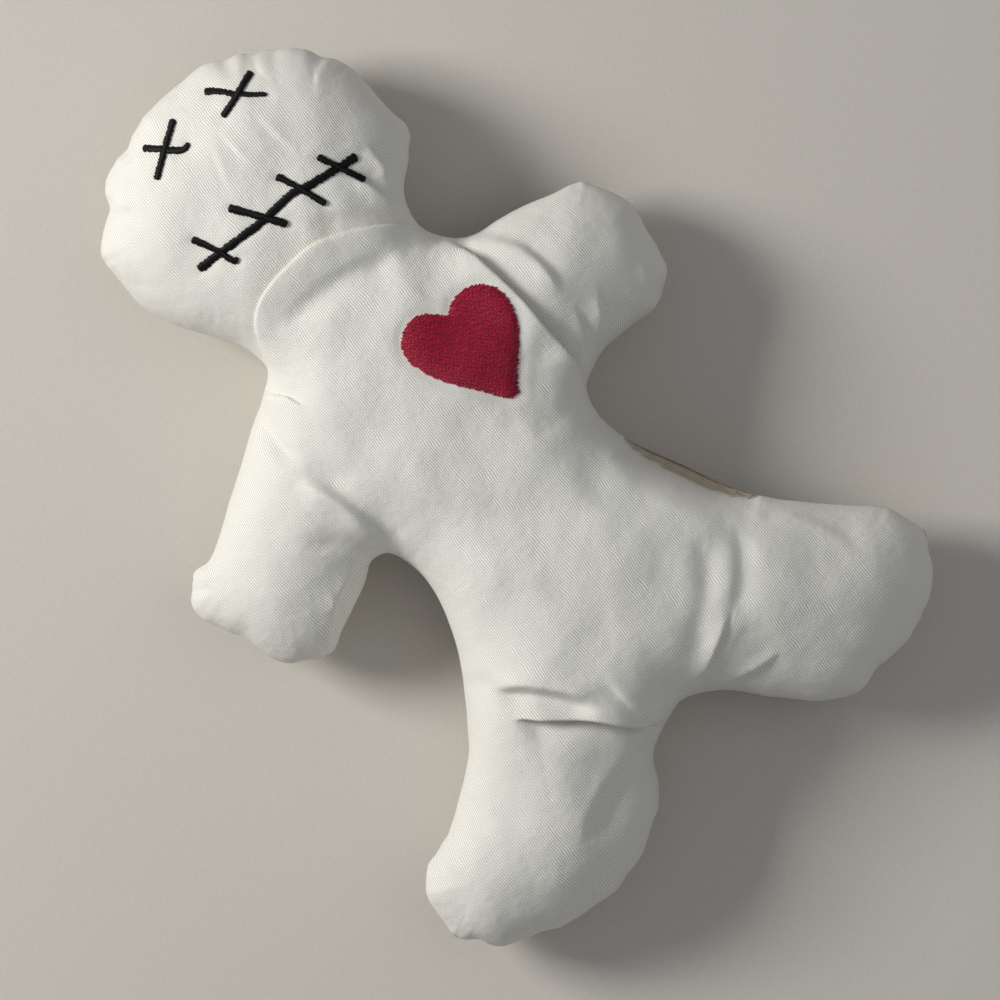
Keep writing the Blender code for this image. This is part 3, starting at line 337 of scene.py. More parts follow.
RAW_SEAM = gathered(even_loop(smooth_loop(seam_landmarks()), 1012))
ORIGIN = (RAW_SEAM.min(0) + RAW_SEAM.max(0)) / 2


def placed(points):
    """Points of the doll as it was measured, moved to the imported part's frame."""
    return np.asarray(points, float) - ORIGIN


RIM_COUNT = 2**DIVISIONS * round(run_of(RAW_SEAM)[-1] / RIM_STEP / 2**DIVISIONS)
SEAM = even_loop(placed(RAW_SEAM), RIM_COUNT)


def eased(x):
    x = np.clip(x, 0, 1)
    return x * x * (3 - 2 * x)


def ripple(count, knots, seed):
    """A smooth closed run of values about zero, from one random value for each knot."""
    values = np.random.default_rng(seed).normal(0, 1, knots)
    fine = smooth_loop(values[:, None], 40)[:, 0]
    at = np.arange(count) / count * len(fine)
    return np.interp(at, np.arange(len(fine) + 1), np.append(fine, fine[0]))


# The membrane


def lattice(loop, step, margin):
    """An even triangular lattice of points inside the loop, at least margin from it."""
    low, high = loop.min(0), loop.max(0)
    rows = np.arange(low[1], high[1], step * math.sqrt(3) / 2)
    x, y = np.meshgrid(np.arange(low[0], high[0], step), rows)
    x = x + (np.arange(len(rows)) % 2)[:, None] * step / 2
    return inside_points(np.stack([x.ravel(), y.ravel()], 1), loop, margin)


def inside_points(points, loop, margin):
    a, b = loop, np.roll(loop, -1, 0)
    x, y = points[:, :1], points[:, 1:]
    crossing = (a[:, 1] > y) != (b[:, 1] > y)
    with np.errstate(divide="ignore", invalid="ignore"):
        at = a[:, 0] + (y - a[:, 1]) * (b[:, 0] - a[:, 0]) / (b[:, 1] - a[:, 1])
    odd = (crossing & (x < at)).sum(1) % 2 == 1
    points = points[odd]
    return points[nearest(points, loop)[0] > margin]


def nearest(points, line):
    """How far each point is from a line's nearest point, and that point's number."""
    away, number = np.empty(len(points)), np.empty(len(points), int)
    for start in range(0, len(points), 4000):
        part = slice(start, start + 4000)
        square = ((points[part, None] - line) ** 2).sum(2)
        number[part] = square.argmin(1)
        away[part] = np.sqrt(square.min(1))
    return away, number


def boxed(points, line, reach):
    """Which points lie in the line's box, widened by reach."""
    return ((points > line.min(0) - reach) & (points < line.max(0) + reach)).all(1)


def filled(loop, inner):
    """Triangles that fill the loop and use the inner points too."""
    points = np.vstack([loop, inner])
    result = delaunay_2d_cdt([Vector(p) for p in points], [], [list(range(len(loop)))], 1, 1e-5)
    return points, np.array(result[2])


def stiffness(points, triangles):
    """The membrane equation's matrix, from the cotangents of each triangle's corners."""
    matrix = np.zeros((len(points), len(points)))
    corner = points[triangles]
    load = np.zeros(len(points))
    for k in range(3):
        i, j, o = triangles[:, (k + 1) % 3], triangles[:, (k + 2) % 3], corner[:, k]
        a, b = corner[:, (k + 1) % 3] - o, corner[:, (k + 2) % 3] - o
        twice = np.abs(a[:, 0] * b[:, 1] - a[:, 1] * b[:, 0])
        weight = 0.5 * (a * b).sum(1) / twice
        for p, q, sign in ((i, j, -1), (j, i, -1), (i, i, 1), (j, j, 1)):
            np.add.at(matrix, (p, q), sign * weight)
        np.add.at(load, triangles[:, k], twice / 6)
    return matrix, load


def membrane(loop):
    """A lookup of the unit bulge sqrt(2 f), where laplace(f) = -1 and f is 0 along the loop."""
    rings = [loop - loop_normals(loop, 2) * d for d in (0.7, 1.8)]
    points, faces = filled(loop, np.vstack(rings + [lattice(loop, SHEET_STEP, 3.3)]))
    matrix, load = stiffness(points, faces)
    free = np.arange(len(loop), len(points))
    deflection = np.zeros(len(points))
    deflection[free] = np.linalg.solve(matrix[np.ix_(free, free)], load[free])
    scale = 1 / HEAD_HALF_WIDTH
    tree = BVHTree.FromPolygons([(*p, f * scale) for p, f in zip(points, deflection)], faces.tolist())

    def bulge(xy):
        hits = [tree.ray_cast(Vector((x, y, 1000)), Vector((0, 0, -1)))[0] for x, y in xy]
        return np.sqrt(np.array([2 * max(0, hit.z) / scale if hit else 0 for hit in hits]))

    return bulge


UNIT_BULGE = membrane(SEAM[::4])


def folded(xy, folds):
    """Each fold's height and how far it leans.

    The height is a bell-shaped ridge left of its line and a valley right of it, bell-shaped too,
    or with a sharp bottom where the fold is crisp. A crisp fold's lip leans over its valley by a
    share of the fold's height.
    """
    total, shift = np.zeros(len(xy)), np.zeros((len(xy), 2))
    for _, rise, fall, rise_reach, fall_reach, edge, points in folds:
        line = smooth_line(placed(points), 0.8)
        reach = FOLD_SPAN * max(rise_reach, fall_reach)
        near = boxed(xy, line, reach)
        p = xy[near]
        run = run_of(line)
        tangent = unit(np.gradient(line, axis=0))
        away, number = nearest(p, line)
        offset = p - line[number]
        side = tangent[number, 0] * offset[:, 1] - tangent[number, 1] * offset[:, 0]
        along = run[number]
        held = nearest(line[[0, -1]], SEAM)[0] < FOLD_HELD
        fade = np.ones(len(p))
        if not held[0]:
            fade *= eased(along / FOLD_FADE)
        if not held[1]:
            fade *= eased((run[-1] - along) / FOLD_FADE)
        fade *= np.exp(-np.abs(away**2 - side**2) / FOLD_END**2)
        left = 0.5 + 0.5 * np.tanh(side / edge)
        ridge = rise * np.exp(-((away / rise_reach) ** 2))
        crisp = edge < CRISP
        depth = away / (FOLD_SHARP * fall_reach) if crisp else (away / fall_reach) ** 2
        valley = -fall * np.exp(-depth)
        total[near] += fade * (left * ridge + (1 - left) * valley)
        if crisp:
            lean = FOLD_LEAN * (rise + fall) * np.exp(-((np.maximum(side, 0) / (0.6 * rise_reach)) ** 2))
            shift[near] -= (lean * left * fade)[:, None] * line_normals(line)[number]
    length = np.linalg.norm(shift, axis=1, keepdims=True)
    return total, shift * np.minimum(1, LEAN_LIMIT / np.maximum(length, 1e-9))


# Puckers: how strongly the seam gathers the cloth along the outline, and how far each runs in
def pucker_strength(loop):
    """Strong where the seam bends outwards, as round the head, the hands and the feet."""
    tangent = unit(np.roll(loop, -1, 0) - np.roll(loop, 1, 0))
    ahead = np.roll(tangent, -8, 0)
    turn = tangent[:, 0] * ahead[:, 1] - tangent[:, 1] * ahead[:, 0]
    turn = np.convolve(np.concatenate([turn[-12:], turn, turn[:12]]), np.ones(25) / 25, "valid")
    return 0.25 + 0.75 * eased(turn / 0.16 + 0.2)


PUCKER_STRENGTH = pucker_strength(SEAM)


def seam_ripples(seed):
    knots = round(run_of(SEAM)[-1] / PUCKER_SPACING * 2)
    fine = ripple(RIM_COUNT, knots, seed) * 0.7 + ripple(RIM_COUNT, 2 * knots, seed + 1) * 0.3
    return fine * PUCKER_STRENGTH


SCALLOP = seam_ripples(3)
FRONT_RIPPLE = 0.6 * SCALLOP + 0.6 * seam_ripples(11)
BACK_RIPPLE = 0.6 * SCALLOP + 0.6 * seam_ripples(23)
RIPPLE_LENGTH = PUCKER_REACH * (0.9 + 0.35 * np.clip(ripple(RIM_COUNT, 90, 31), -1.4, 2))


def seam_height(xy):
    out = eased((np.abs(xy[:, 0]) - ARMS_FROM) / ARMS_FROM)
    arms = out * eased((xy[:, 1] - ARMS_LOW) / (ARMS_HIGH - ARMS_LOW))
    legs = eased((xy[:, 1] - LEGS_FROM) / LEGS_SPAN)
    return SEAM_HEIGHT - ARM_DROOP * arms - LEG_DROOP * legs


def lumps(xy, seed, size, height):
    """Soft lumps of the filling: a sum of plane waves in random directions."""
    rng = np.random.default_rng(seed)
    total = np.zeros(len(xy))
    for _ in range(14):
        angle, phase = rng.uniform(0, 2 * math.pi, 2)
        wave = 2 * math.pi / (size * rng.uniform(0.7, 1.6))
        total += np.sin(wave * (xy @ (math.cos(angle), math.sin(angle))) + phase)
    return total * height / math.sqrt(7)


def gap_share():
    """1 along the hand-closed gap and 0 elsewhere, with soft ends."""
    first, last = sorted(nearest(placed(CLOSED_BY_HAND), SEAM)[1])
    share = np.zeros(RIM_COUNT)
    share[first:last + 1] = np.sin(np.linspace(0, math.pi, last + 1 - first)) ** 0.6
    return share


GAP_SHARE = gap_share()


def sunk(xy):
    """How far the stitches of the embroidery pull the cloth down round them."""
    total = np.zeros(len(xy))
    for bar in LEFT_EYE + RIGHT_EYE + [MOUTH_LINE] + MOUTH_BARS:
        line = smooth_line(placed(np.array(bar)[:, :2]), 0.5)
        near = boxed(xy, line, 5)
        dent = BAR_SINK * np.exp(-((nearest(xy[near], line)[0] / BAR_SINK_REACH) ** 2))
        total[near] = np.maximum(total[near], dent)
    outline = even_loop(smooth_loop(placed(HEART)), 200)
    near = boxed(xy, outline, 6)
    total[near] += HEART_SINK * np.exp(-((nearest(xy[near], outline)[0] / HEART_SINK_REACH) ** 2))
    return total


def side_height(xy, away, number, side):
    """Height of the front (side 1) or the back (side -1) above the floor at each point."""
    unit_bulge = UNIT_BULGE(xy)
    loft, limit = (FRONT_LOFT, FRONT_LIMIT) if side > 0 else (BACK_LOFT, BACK_LIMIT)
    if side > 0:
        tuck = TUCK_DEPTH * GAP_SHARE[number]
        squeeze = tuck / np.maximum(away, 1e-3) * (1 - eased((away - tuck) / SQUEEZE_REACH))
        unit_bulge = unit_bulge * np.sqrt(np.clip(1 - squeeze, 0, 1))
    bulge = limit * np.tanh(loft * unit_bulge / limit)
    room = eased(bulge / FOLD_ROOM)
    folds, shift = folded(xy, FRONT_FOLDS if side > 0 else BACK_FOLDS)
    folds *= room
    shift *= (room * eased((away - 1) / 5))[:, None]
    wave = (FRONT_RIPPLE if side > 0 else BACK_RIPPLE)[number]
    pucker = PUCKER_HEIGHT * wave * np.exp(-((away / RIPPLE_LENGTH[number]) ** 2)) * eased(bulge / 4)
    large = lumps(xy, 5 if side > 0 else 6, LUMP_SIZE, LUMP_HEIGHT)
    uneven = (large + lumps(xy, 8, SMALL_LUMP_SIZE, SMALL_LUMP_HEIGHT)) * room
    relief = folds + pucker + uneven
    lowest = DEEPEST * bulge + 1e-6
    relief = np.where(relief < 0, -lowest * np.tanh(-relief / lowest), relief)
    z = seam_height(xy) + side * (bulge + relief)
    if side > 0:
        strip = np.clip(1 - away / np.maximum(tuck, 1e-3), 0, 1)
        beyond = np.clip(away - tuck, 0, None)
        z += EDGE_ROLL * eased(beyond / 0.5) * eased(tuck / 1.2) * np.exp(-beyond / 1.6)
        step = GAP_STEP * (away < tuck) * eased(8 * strip)
        z -= GAP_SHARE[number] * (GAP_DROP * strip + step) + sunk(xy)
    else:
        z -= GAP_DROP * GAP_SHARE[number] * np.exp(-((away / 4) ** 2))
        blend = (z + FLAT_BLEND) ** 2 / (4 * FLAT_BLEND)
        z = np.where(z < -FLAT_BLEND, 0, np.where(z > FLAT_BLEND, z, blend))
    return z, shift


# The stuffed body


def divided(points, faces, rim):
    """Each triangle in four, at its edges' middles; rim numbers the points that lie on the inner ring."""
    edges = np.sort(np.vstack([faces[:, [0, 1]], faces[:, [1, 2]], faces[:, [2, 0]]]), axis=1)
    edges, back = np.unique(edges, axis=0, return_inverse=True)
    a, b, c = back.reshape(3, -1) + len(points)
    middle = points[edges].mean(1)
    first, second = rim[edges].T
    gap = np.abs(first - second)
    step = RIM_COUNT / (rim >= 0).sum()
    on_ring = (first >= 0) & (second >= 0) & ((gap == step) | (gap == RIM_COUNT - step))
    middle_rim = np.where(gap == step, (first + second) / 2, (first + second + RIM_COUNT) / 2 % RIM_COUNT)
    i, j, k = faces.T
    faces = np.vstack([np.stack(t, 1) for t in ((i, a, c), (a, j, b), (c, b, k), (a, b, c))])
    return np.vstack([points, middle]), faces, np.concatenate([rim, np.where(on_ring, middle_rim, -1)])


def fold_rows(loop):
    """Points along each front fold's line and beside it, so that the sheet's edges follow it."""
    kept = np.array([[1e6, 1e6]])
    for *_, points in FRONT_FOLDS:
        line = smooth_line(placed(points), SHEET_STEP)
        for shift in (0, FOLD_ROW, -FOLD_ROW):
            row = inside_points(line + shift * line_normals(line), loop, 0.5 * SHEET_STEP)
            kept = np.vstack([kept, row[nearest(row, kept)[0] > 0.75 * FOLD_ROW]])
    return kept[1:]


def body_surface():
    """The closed cloth surface: a rim grid on each side of the seam, and a sheet inside each rim.

    The rim is a function of the place along the seam and the share of the way in, whose square
    gives the inset, so that its rows are even in height. The sheet is a triangulated field whose
    height is a function of x and y.
    """
    share = (np.arange(1, RIM_ROWS + 1) / RIM_ROWS) ** 2
    sharp, soft = loop_normals(SEAM, 2), loop_normals(SEAM, 4)
    normal = unit(sharp * (1 - share[:, None, None]) + soft * share[:, None, None])
    rim = SEAM - normal * (RIM_WIDTH * share)[:, None, None]
    ring = rim[-1]
    coarse = ring[::2**DIVISIONS]
    rows = fold_rows(ring)
    field = lattice(ring, SHEET_STEP, 0.62 * SHEET_STEP)
    field = field[nearest(field, rows)[0] > 0.62 * SHEET_STEP]
    sheet, faces = filled(coarse, np.vstack([rows, field]))
    number = np.full(len(sheet), -1.0)
    number[:len(coarse)] = np.arange(len(coarse)) * 2**DIVISIONS
    for _ in range(DIVISIONS):
        sheet, faces, number = divided(sheet, faces, number)
    on_ring = number >= 0
    sheet[on_ring] = ring[number[on_ring].astype(int)]
    return rim, sheet, faces, number


def assemble_body():
    rim, sheet, sheet_faces, ring_number = body_surface()
    count = RIM_COUNT
    grid = rim[:-1].reshape(-1, 2)
    flat = np.vstack([grid, sheet])
    away, number = nearest(flat, SEAM)
    order = np.argsort(np.where(ring_number >= 0, ring_number, np.inf))[:count]
    rows = np.vstack([np.arange(len(grid)).reshape(-1, count), (len(grid) + order)[None]]) + count
    rows = np.vstack([np.arange(count)[None], rows])
    nxt = np.roll(rows, -1, 1)
    quads = np.stack([rows[:-1], nxt[:-1], nxt[1:], rows[1:]], 2).reshape(-1, 4)
    triangles = sheet_faces + count + len(grid)
    tuck = TUCK_DEPTH * GAP_SHARE[number]
    # strip: how much of the painted shade colour each point of the strip of back panel at the hand-closed
    # gap takes
    strip = eased(1.6 * tuck) * (1 - eased((away - tuck + 0.15) / 0.35))
    vertices, faces, cloth = [seam_points()], [], []
    for side in (1, -1):
        z, shift = side_height(flat, away, number, side)
        spread = pushed_out(flat, away, number) + shift
        points = np.vstack([vertices[0], np.column_stack([spread, z])])
        place = flattened(points, np.vstack([quads[:, [0, 1, 2]], quads[:, [0, 2, 3]], triangles]))
        vertices.append(points[count:])
        for group in (quads, triangles):
            turned = group if side > 0 else group[:, ::-1]
            cloth.append(place[turned].reshape(-1, 2))
            faces.append(turned if side > 0 else np.where(turned < count, turned, turned + len(flat)))
    strip = np.concatenate([eased(1.6 * TUCK_DEPTH * GAP_SHARE), strip, strip])
    return np.vstack(vertices), faces, np.vstack(cloth), strip


def flattened(points, triangles):
    """Each point's place on the flat cloth, in millimetres.

    It is the least-squares answer to this: the step along each edge is its step in x and y,
    lengthened in the direction of the slope by sqrt(1 + slope^2). Conjugate gradients find it.
    """
    corner = points[triangles]
    normal = np.cross(corner[:, 1] - corner[:, 0], corner[:, 2] - corner[:, 0])
    fall = -normal[:, :2] / np.where(np.abs(normal[:, 2:]) < 1e-9, 1e-9, normal[:, 2:])
    slope = np.minimum(np.linalg.norm(fall, axis=1), STEEPEST)
    along = unit(fall)
    stretch = np.sqrt(1 + slope**2) - 1
    start, end, weight, step = [], [], [], []
    for k in range(3):
        i, j, o = (k + 1) % 3, (k + 2) % 3, k
        a, b = corner[:, i] - corner[:, o], corner[:, j] - corner[:, o]
        cotangent = (a * b).sum(1) / np.linalg.norm(np.cross(a, b), axis=1)
        flat_step = corner[:, i, :2] - corner[:, j, :2]
        start.append(triangles[:, i])
        end.append(triangles[:, j])
        weight.append(np.clip(cotangent, 0.02, 20))
        step.append(flat_step + (stretch * (along * flat_step).sum(1))[:, None] * along)
    start, end, weight, step = (np.concatenate(v) for v in (start, end, weight, step))
    size = len(points)

    def gathered_at(numbers, values):
        return np.stack([np.bincount(numbers, values[:, k], size) for k in (0, 1)], 1)

    def applied(field):
        flow = weight[:, None] * (field[start] - field[end])
        return gathered_at(start, flow) - gathered_at(end, flow)

    flow = weight[:, None] * step
    target = gathered_at(start, flow) - gathered_at(end, flow)
    scale = 1 / (np.bincount(start, weight, size) + np.bincount(end, weight, size))[:, None]
    place = points[:, :2].copy()
    left = target - applied(place)
    search = scale * left
    level = (left * search).sum()
    for _ in range(FLATTEN_ROUNDS):
        pulled = applied(search)
        share = level / (search * pulled).sum()
        place += share * search
        left -= share * pulled
        eased_left = scale * left
        new_level = (left * eased_left).sum()
        search = eased_left + new_level / level * search
        level = new_level
    return place


def seam_points():
    z = seam_height(SEAM) - GAP_DROP * GAP_SHARE
    out = loop_normals(SEAM, 3) * (SCALLOP_DEPTH * SCALLOP - SEAM_SINK)[:, None]
    return np.column_stack([SEAM + out, z])


def pushed_out(xy, away, number):
    """The seam's scallops, which fade inwards over the rim."""
    out = loop_normals(SEAM, 3)[number] * (SCALLOP_DEPTH * SCALLOP)[number, None]
    return xy + out * np.exp(-((away / 4.0) ** 2))[:, None]


def linked(name, data):
    piece = bpy.data.objects.new(name, data)
    bpy.context.scene.collection.objects.link(piece)
    return piece


def mesh_object(name, vertices, face_groups, material, cloth=None, strip=None):
    """A smooth mesh from an array of points in millimetres and arrays of faces."""
    mesh = bpy.data.meshes.new(name)
    sizes = np.concatenate([np.full(len(f), f.shape[1]) for f in face_groups])
    corners = np.concatenate([f.ravel() for f in face_groups]).astype(np.int32)
    mesh.vertices.add(len(vertices))
    mesh.vertices.foreach_set("co", (np.asarray(vertices) * MM).astype(np.float32).ravel())
    mesh.loops.add(len(corners))
    mesh.loops.foreach_set("vertex_index", corners)
    mesh.polygons.add(len(sizes))
    mesh.polygons.foreach_set("loop_start", np.concatenate([[0], np.cumsum(sizes)[:-1]]).astype(np.int32))
    mesh.polygons.foreach_set("use_smooth", np.ones(len(sizes), bool))
    mesh.update(calc_edges=True)
    if cloth is not None:
        mesh.uv_layers.new(name="cloth").data.foreach_set("uv", cloth.astype(np.float32).ravel())
    if strip is not None:
        # The strip attribute carries the painted shade at the hand-closed gap
        mesh.attributes.new("strip", "FLOAT", "POINT").data.foreach_set("value", strip.astype(np.float32))
    mesh.materials.append(material)
    return linked(name, mesh)


# Embroidery and hand stitches


def tubes(rings):
    """Closed tubes from an array of rings (tube, ring, corner, xyz), with a pole at each end."""
    count, length, around = rings.shape[:3]
    first = (np.arange(count) * (length * around + 2))[:, None, None]
    ring, corner = np.arange(length - 1)[:, None] * around, np.arange(around)
    nxt = (corner + 1) % around
    quads = np.stack([ring + corner, ring + nxt, ring + around + nxt, ring + around + corner], 2)
    last = (length - 1) * around
    pole = length * around
    start = np.stack([nxt, corner, np.full(around, pole)], 1)
    end = np.stack([last + corner, last + nxt, np.full(around, pole + 1)], 1)
    poles = rings[:, [0, -1]].mean(2)
    vertices = np.concatenate([rings.reshape(count, -1, 3), poles], 1).reshape(-1, 3)
    quads = (quads.reshape(1, -1, 4) + first).reshape(-1, 4)
    return vertices, quads, (np.vstack([start, end])[None] + first).reshape(-1, 3)


def joined(parts):
    offsets = np.cumsum([0] + [len(p[0]) for p in parts[:-1]])
    return (np.vstack([p[0] for p in parts]),
            [np.vstack([p[k] + o for p, o in zip(parts, offsets)]) for k in (1, 2)])


def satin_bar(bar, cloth, height, seed):
    """A bar of satin stitch: a half-round profile carried along its line.

    Its half width is width / 2 with a half-round end and a random part for each thread. Its height
    is that profile times 0.7 + 0.3 |sin|, one wave for each thread, and the waves run at a slant.
    """
    bar = np.array(bar, float)
    line = smooth_line(np.column_stack([placed(bar[:, :2]), bar[:, 2]]), 0.08)
    run = run_of(line[:, :2])
    to_end = np.clip(np.minimum(run, run[-1] - run) / 0.6, 0, 1)
    taper = np.sqrt(np.clip(1 - (1 - to_end) ** 2, 0.02, 1))[:, None]
    angle = 2 * math.pi * (np.arange(14) + 0.5) / 14
    across, up = np.cos(angle), np.sin(angle)
    half = line[:, 2:] / 2
    thread = (run[:, None] + THREAD_SLANT * across * half) / THREAD_PITCH
    ridge = np.abs(np.sin(math.pi * thread))
    uneven = np.random.default_rng(seed).uniform(-1, 1, (2, int(thread.max()) + 3))
    side = np.broadcast_to((across > 0).astype(int), thread.shape)
    half = half * taper * (1.12 + 0.20 * uneven[side, np.floor(thread).astype(int) + 1] + 0.10 * ridge)
    rise = height * taper * (0.7 + 0.3 * ridge) * np.maximum(up, 0) ** 0.8 + 0.45 * np.minimum(up, 0)
    flat = line[:, None, :2] + line_normals(line[:, :2])[:, None] * (half * across)[..., None]
    z = cloth(flat.reshape(-1, 2)).reshape(rise.shape) + rise
    return tubes(np.concatenate([flat, z[..., None]], 2)[None])


def heart_rows(outline):
    """Ends of each row of the fill, left to right, with two pairs where the row crosses both lobes."""
    rows = np.arange(outline[:, 1].min() + 0.3, outline[:, 1].max(), HEART_ROW)
    a, b = outline, np.roll(outline, -1, 0)
    found = []
    for number, y in enumerate(rows):
        crossed = (a[:, 1] > y) != (b[:, 1] > y)
        climb = np.where(crossed, b[:, 1] - a[:, 1], 1)
        at = np.sort((a[:, 0] + (y - a[:, 1]) * (b[:, 0] - a[:, 0]) / climb)[crossed])
        found += [(number, y, x0, x1) for x0, x1 in at.reshape(-1, 2) if x1 - x0 > 1]
    return np.array(found)


def heart_fill(cloth):
    """The heart's fill: rows of thread along x, each a flattened round profile.

    Along a row the thread dips where a stitch ends, every HEART_COLUMN, and the next row's ends
    are a little to one side, so that the dips make the slanting columns of a machine's fill.
    """
    outline = even_loop(smooth_loop(placed(HEART)), 400)
    rows = heart_rows(outline)
    rng = np.random.default_rng(5)
    teeth = rng.uniform(-0.05, 0.42, (len(rows), 2)) * np.array([-1, 1])
    left, right = rows[:, 2] + teeth[:, 0], rows[:, 3] + teeth[:, 1]
    share = (1 - np.cos(np.linspace(0, math.pi, 150))) / 2
    share = 0.25 * share + 0.75 * np.linspace(0, 1, 150)
    x = left[:, None] + (right - left)[:, None] * share
    number = rows[:, :1]
    phase = x / HEART_COLUMN + 0.30 * np.sin(0.9 * number) + 0.5 * (number % 2)
    end = np.abs((phase + 0.5) % 1 - 0.5) * HEART_COLUMN
    dip = np.exp(-((end / 0.16) ** 2))
    inside = np.minimum(x - left[:, None], right[:, None] - x)
    taper = np.sqrt(np.clip(1 - (1 - np.clip(inside / 0.3, 0, 1)) ** 2, 0.03, 1))
    wander = 0.06 * np.sin(x * 1.7 + 2.1 * number) + 0.05 * dip * np.where(number % 2 > 0, 1, -1)
    angle = 2 * math.pi * (np.arange(6) + 0.5) / 6
    half = 0.56 * HEART_ROW * taper * (1 - 0.12 * dip)
    xx = np.repeat(x[..., None], 6, 2)
    yy = (rows[:, 1:2] + wander)[..., None] + half[..., None] * np.cos(angle)
    flat = np.stack([xx, yy], 3)
    middle = np.stack([x, np.broadcast_to(rows[:, 1:2], x.shape)], 2)
    edge = nearest(middle.reshape(-1, 2), outline)[0].reshape(x.shape)
    bed = cloth(flat.reshape(-1, 2)).reshape(xx.shape) + (0.10 + 0.42 * eased(edge / 1.3))[..., None]
    lift = rng.uniform(-0.03, 0.03, (len(rows), 1))
    thick = (0.30 + lift) * taper * (1 - 0.62 * dip)
    z = bed + np.where(np.sin(angle) > 0, thick[..., None] * np.sin(angle), 0.5 * np.sin(angle))
    rings = np.concatenate([flat, z[..., None]], 3)
    return joined([tubes(rings)])


def closing_stitches(cloth):
    """Whip stitches over the turned-in edge: a round thread carried on an arch for each stitch."""
    first, last = sorted(nearest(placed(CLOSED_BY_HAND), SEAM)[1])
    line = SEAM[first:last + 1]
    run = run_of(line)
    inward = -loop_normals(SEAM, 8)[first:last + 1]
    places = np.arange(2.5, run[-1] - 2, STITCH_PITCH)
    places = places + np.random.default_rng(9).uniform(-0.4, 0.4, len(places))
    share = np.linspace(0, 1, 16)
    along = places[:, None] + 1.1 * (share - 0.5)
    tuck = TUCK_DEPTH * np.interp(along, run, GAP_SHARE[first:last + 1])
    depth = 0.55 * tuck + (0.45 * tuck + 0.9) * share
    point = np.stack([np.interp(along, run, line[:, k]) for k in (0, 1)], 2)
    way = unit(np.stack([np.interp(along, run, inward[:, k]) for k in (0, 1)], 2))
    flat = point + way * depth[..., None]
    surface = cloth(flat.reshape(-1, 2)).reshape(depth.shape)
    surface = np.maximum(surface, surface[:, :1] + (surface[:, -1:] - surface[:, :1]) * share)
    middle = np.concatenate([flat, (surface + 0.36 * np.sin(math.pi * share) ** 0.5 - 0.22)[..., None]], 2)
    tangent = unit(np.gradient(middle, axis=1))
    side = unit(np.cross(tangent, [0, 0, 1.0]))
    angle = 2 * math.pi * np.arange(8) / 8
    other = np.cross(side, tangent)
    turn = np.cos(angle)[:, None] * side[:, :, None] + np.sin(angle)[:, None] * other[:, :, None]
    return joined([tubes(middle[:, :, None] + STITCH_THREAD * turn)])


# Materials


def add(tree, kind, inputs=None, **settings):
    """A shader node with its settings; inputs maps a socket to a value or to an output to link."""
    node = tree.nodes.new(kind)
    for name, value in settings.items():
        setattr(node, name, value)
    for key, value in (inputs or {}).items():
        if isinstance(value, bpy.types.NodeSocket):
            tree.links.new(value, node.inputs[key])
        else:
            node.inputs[key].default_value = value
    return node


def maths(tree, operation, a, b=0.0, c=0.0):
    return add(tree, "ShaderNodeMath", {0: a, 1: b, 2: c}, operation=operation).outputs[0]


def mixed(tree, share, a, b):
    """One of two sRGB colours, or a mixture, by share."""
    colours = [(*srgb(c), 1) if isinstance(c, str) else c for c in (a, b)]
    return add(tree, "ShaderNodeMix", {0: share, 6: colours[0], 7: colours[1]}, data_type="RGBA").outputs[2]


def noise(tree, vector, scale, detail=2.0, roughness=0.5):
    inputs = {"Vector": vector, "Scale": scale, "Detail": detail, "Roughness": roughness}
    return add(tree, "ShaderNodeTexNoise", inputs).outputs["Fac"]


def stretched(tree, vector, scale):
    return add(tree, "ShaderNodeMapping", {"Vector": vector, "Scale": scale}).outputs[0]


def bumped(tree, height, depth, under=None):
    inputs = {"Height": height, "Distance": depth, "Strength": 1.0}
    if under is not None:
        inputs["Normal"] = under
    return add(tree, "ShaderNodeBump", inputs).outputs[0]


def new_material(name, **settings):
    material = bpy.data.materials.new(name)
    material.use_nodes = True
    shader = material.node_tree.nodes["Principled BSDF"]
    for key, value in settings.items():
        shader.inputs[key.replace("_", " ")].default_value = value
    return material, material.node_tree, shader


def finished(shader, colour, normal):
    tree = shader.id_data
    tree.links.new(colour, shader.inputs["Base Color"])
    tree.links.new(normal, shader.inputs["Normal"])


def own_place(tree):
    return add(tree, "ShaderNodeTexCoord").outputs["Object"]


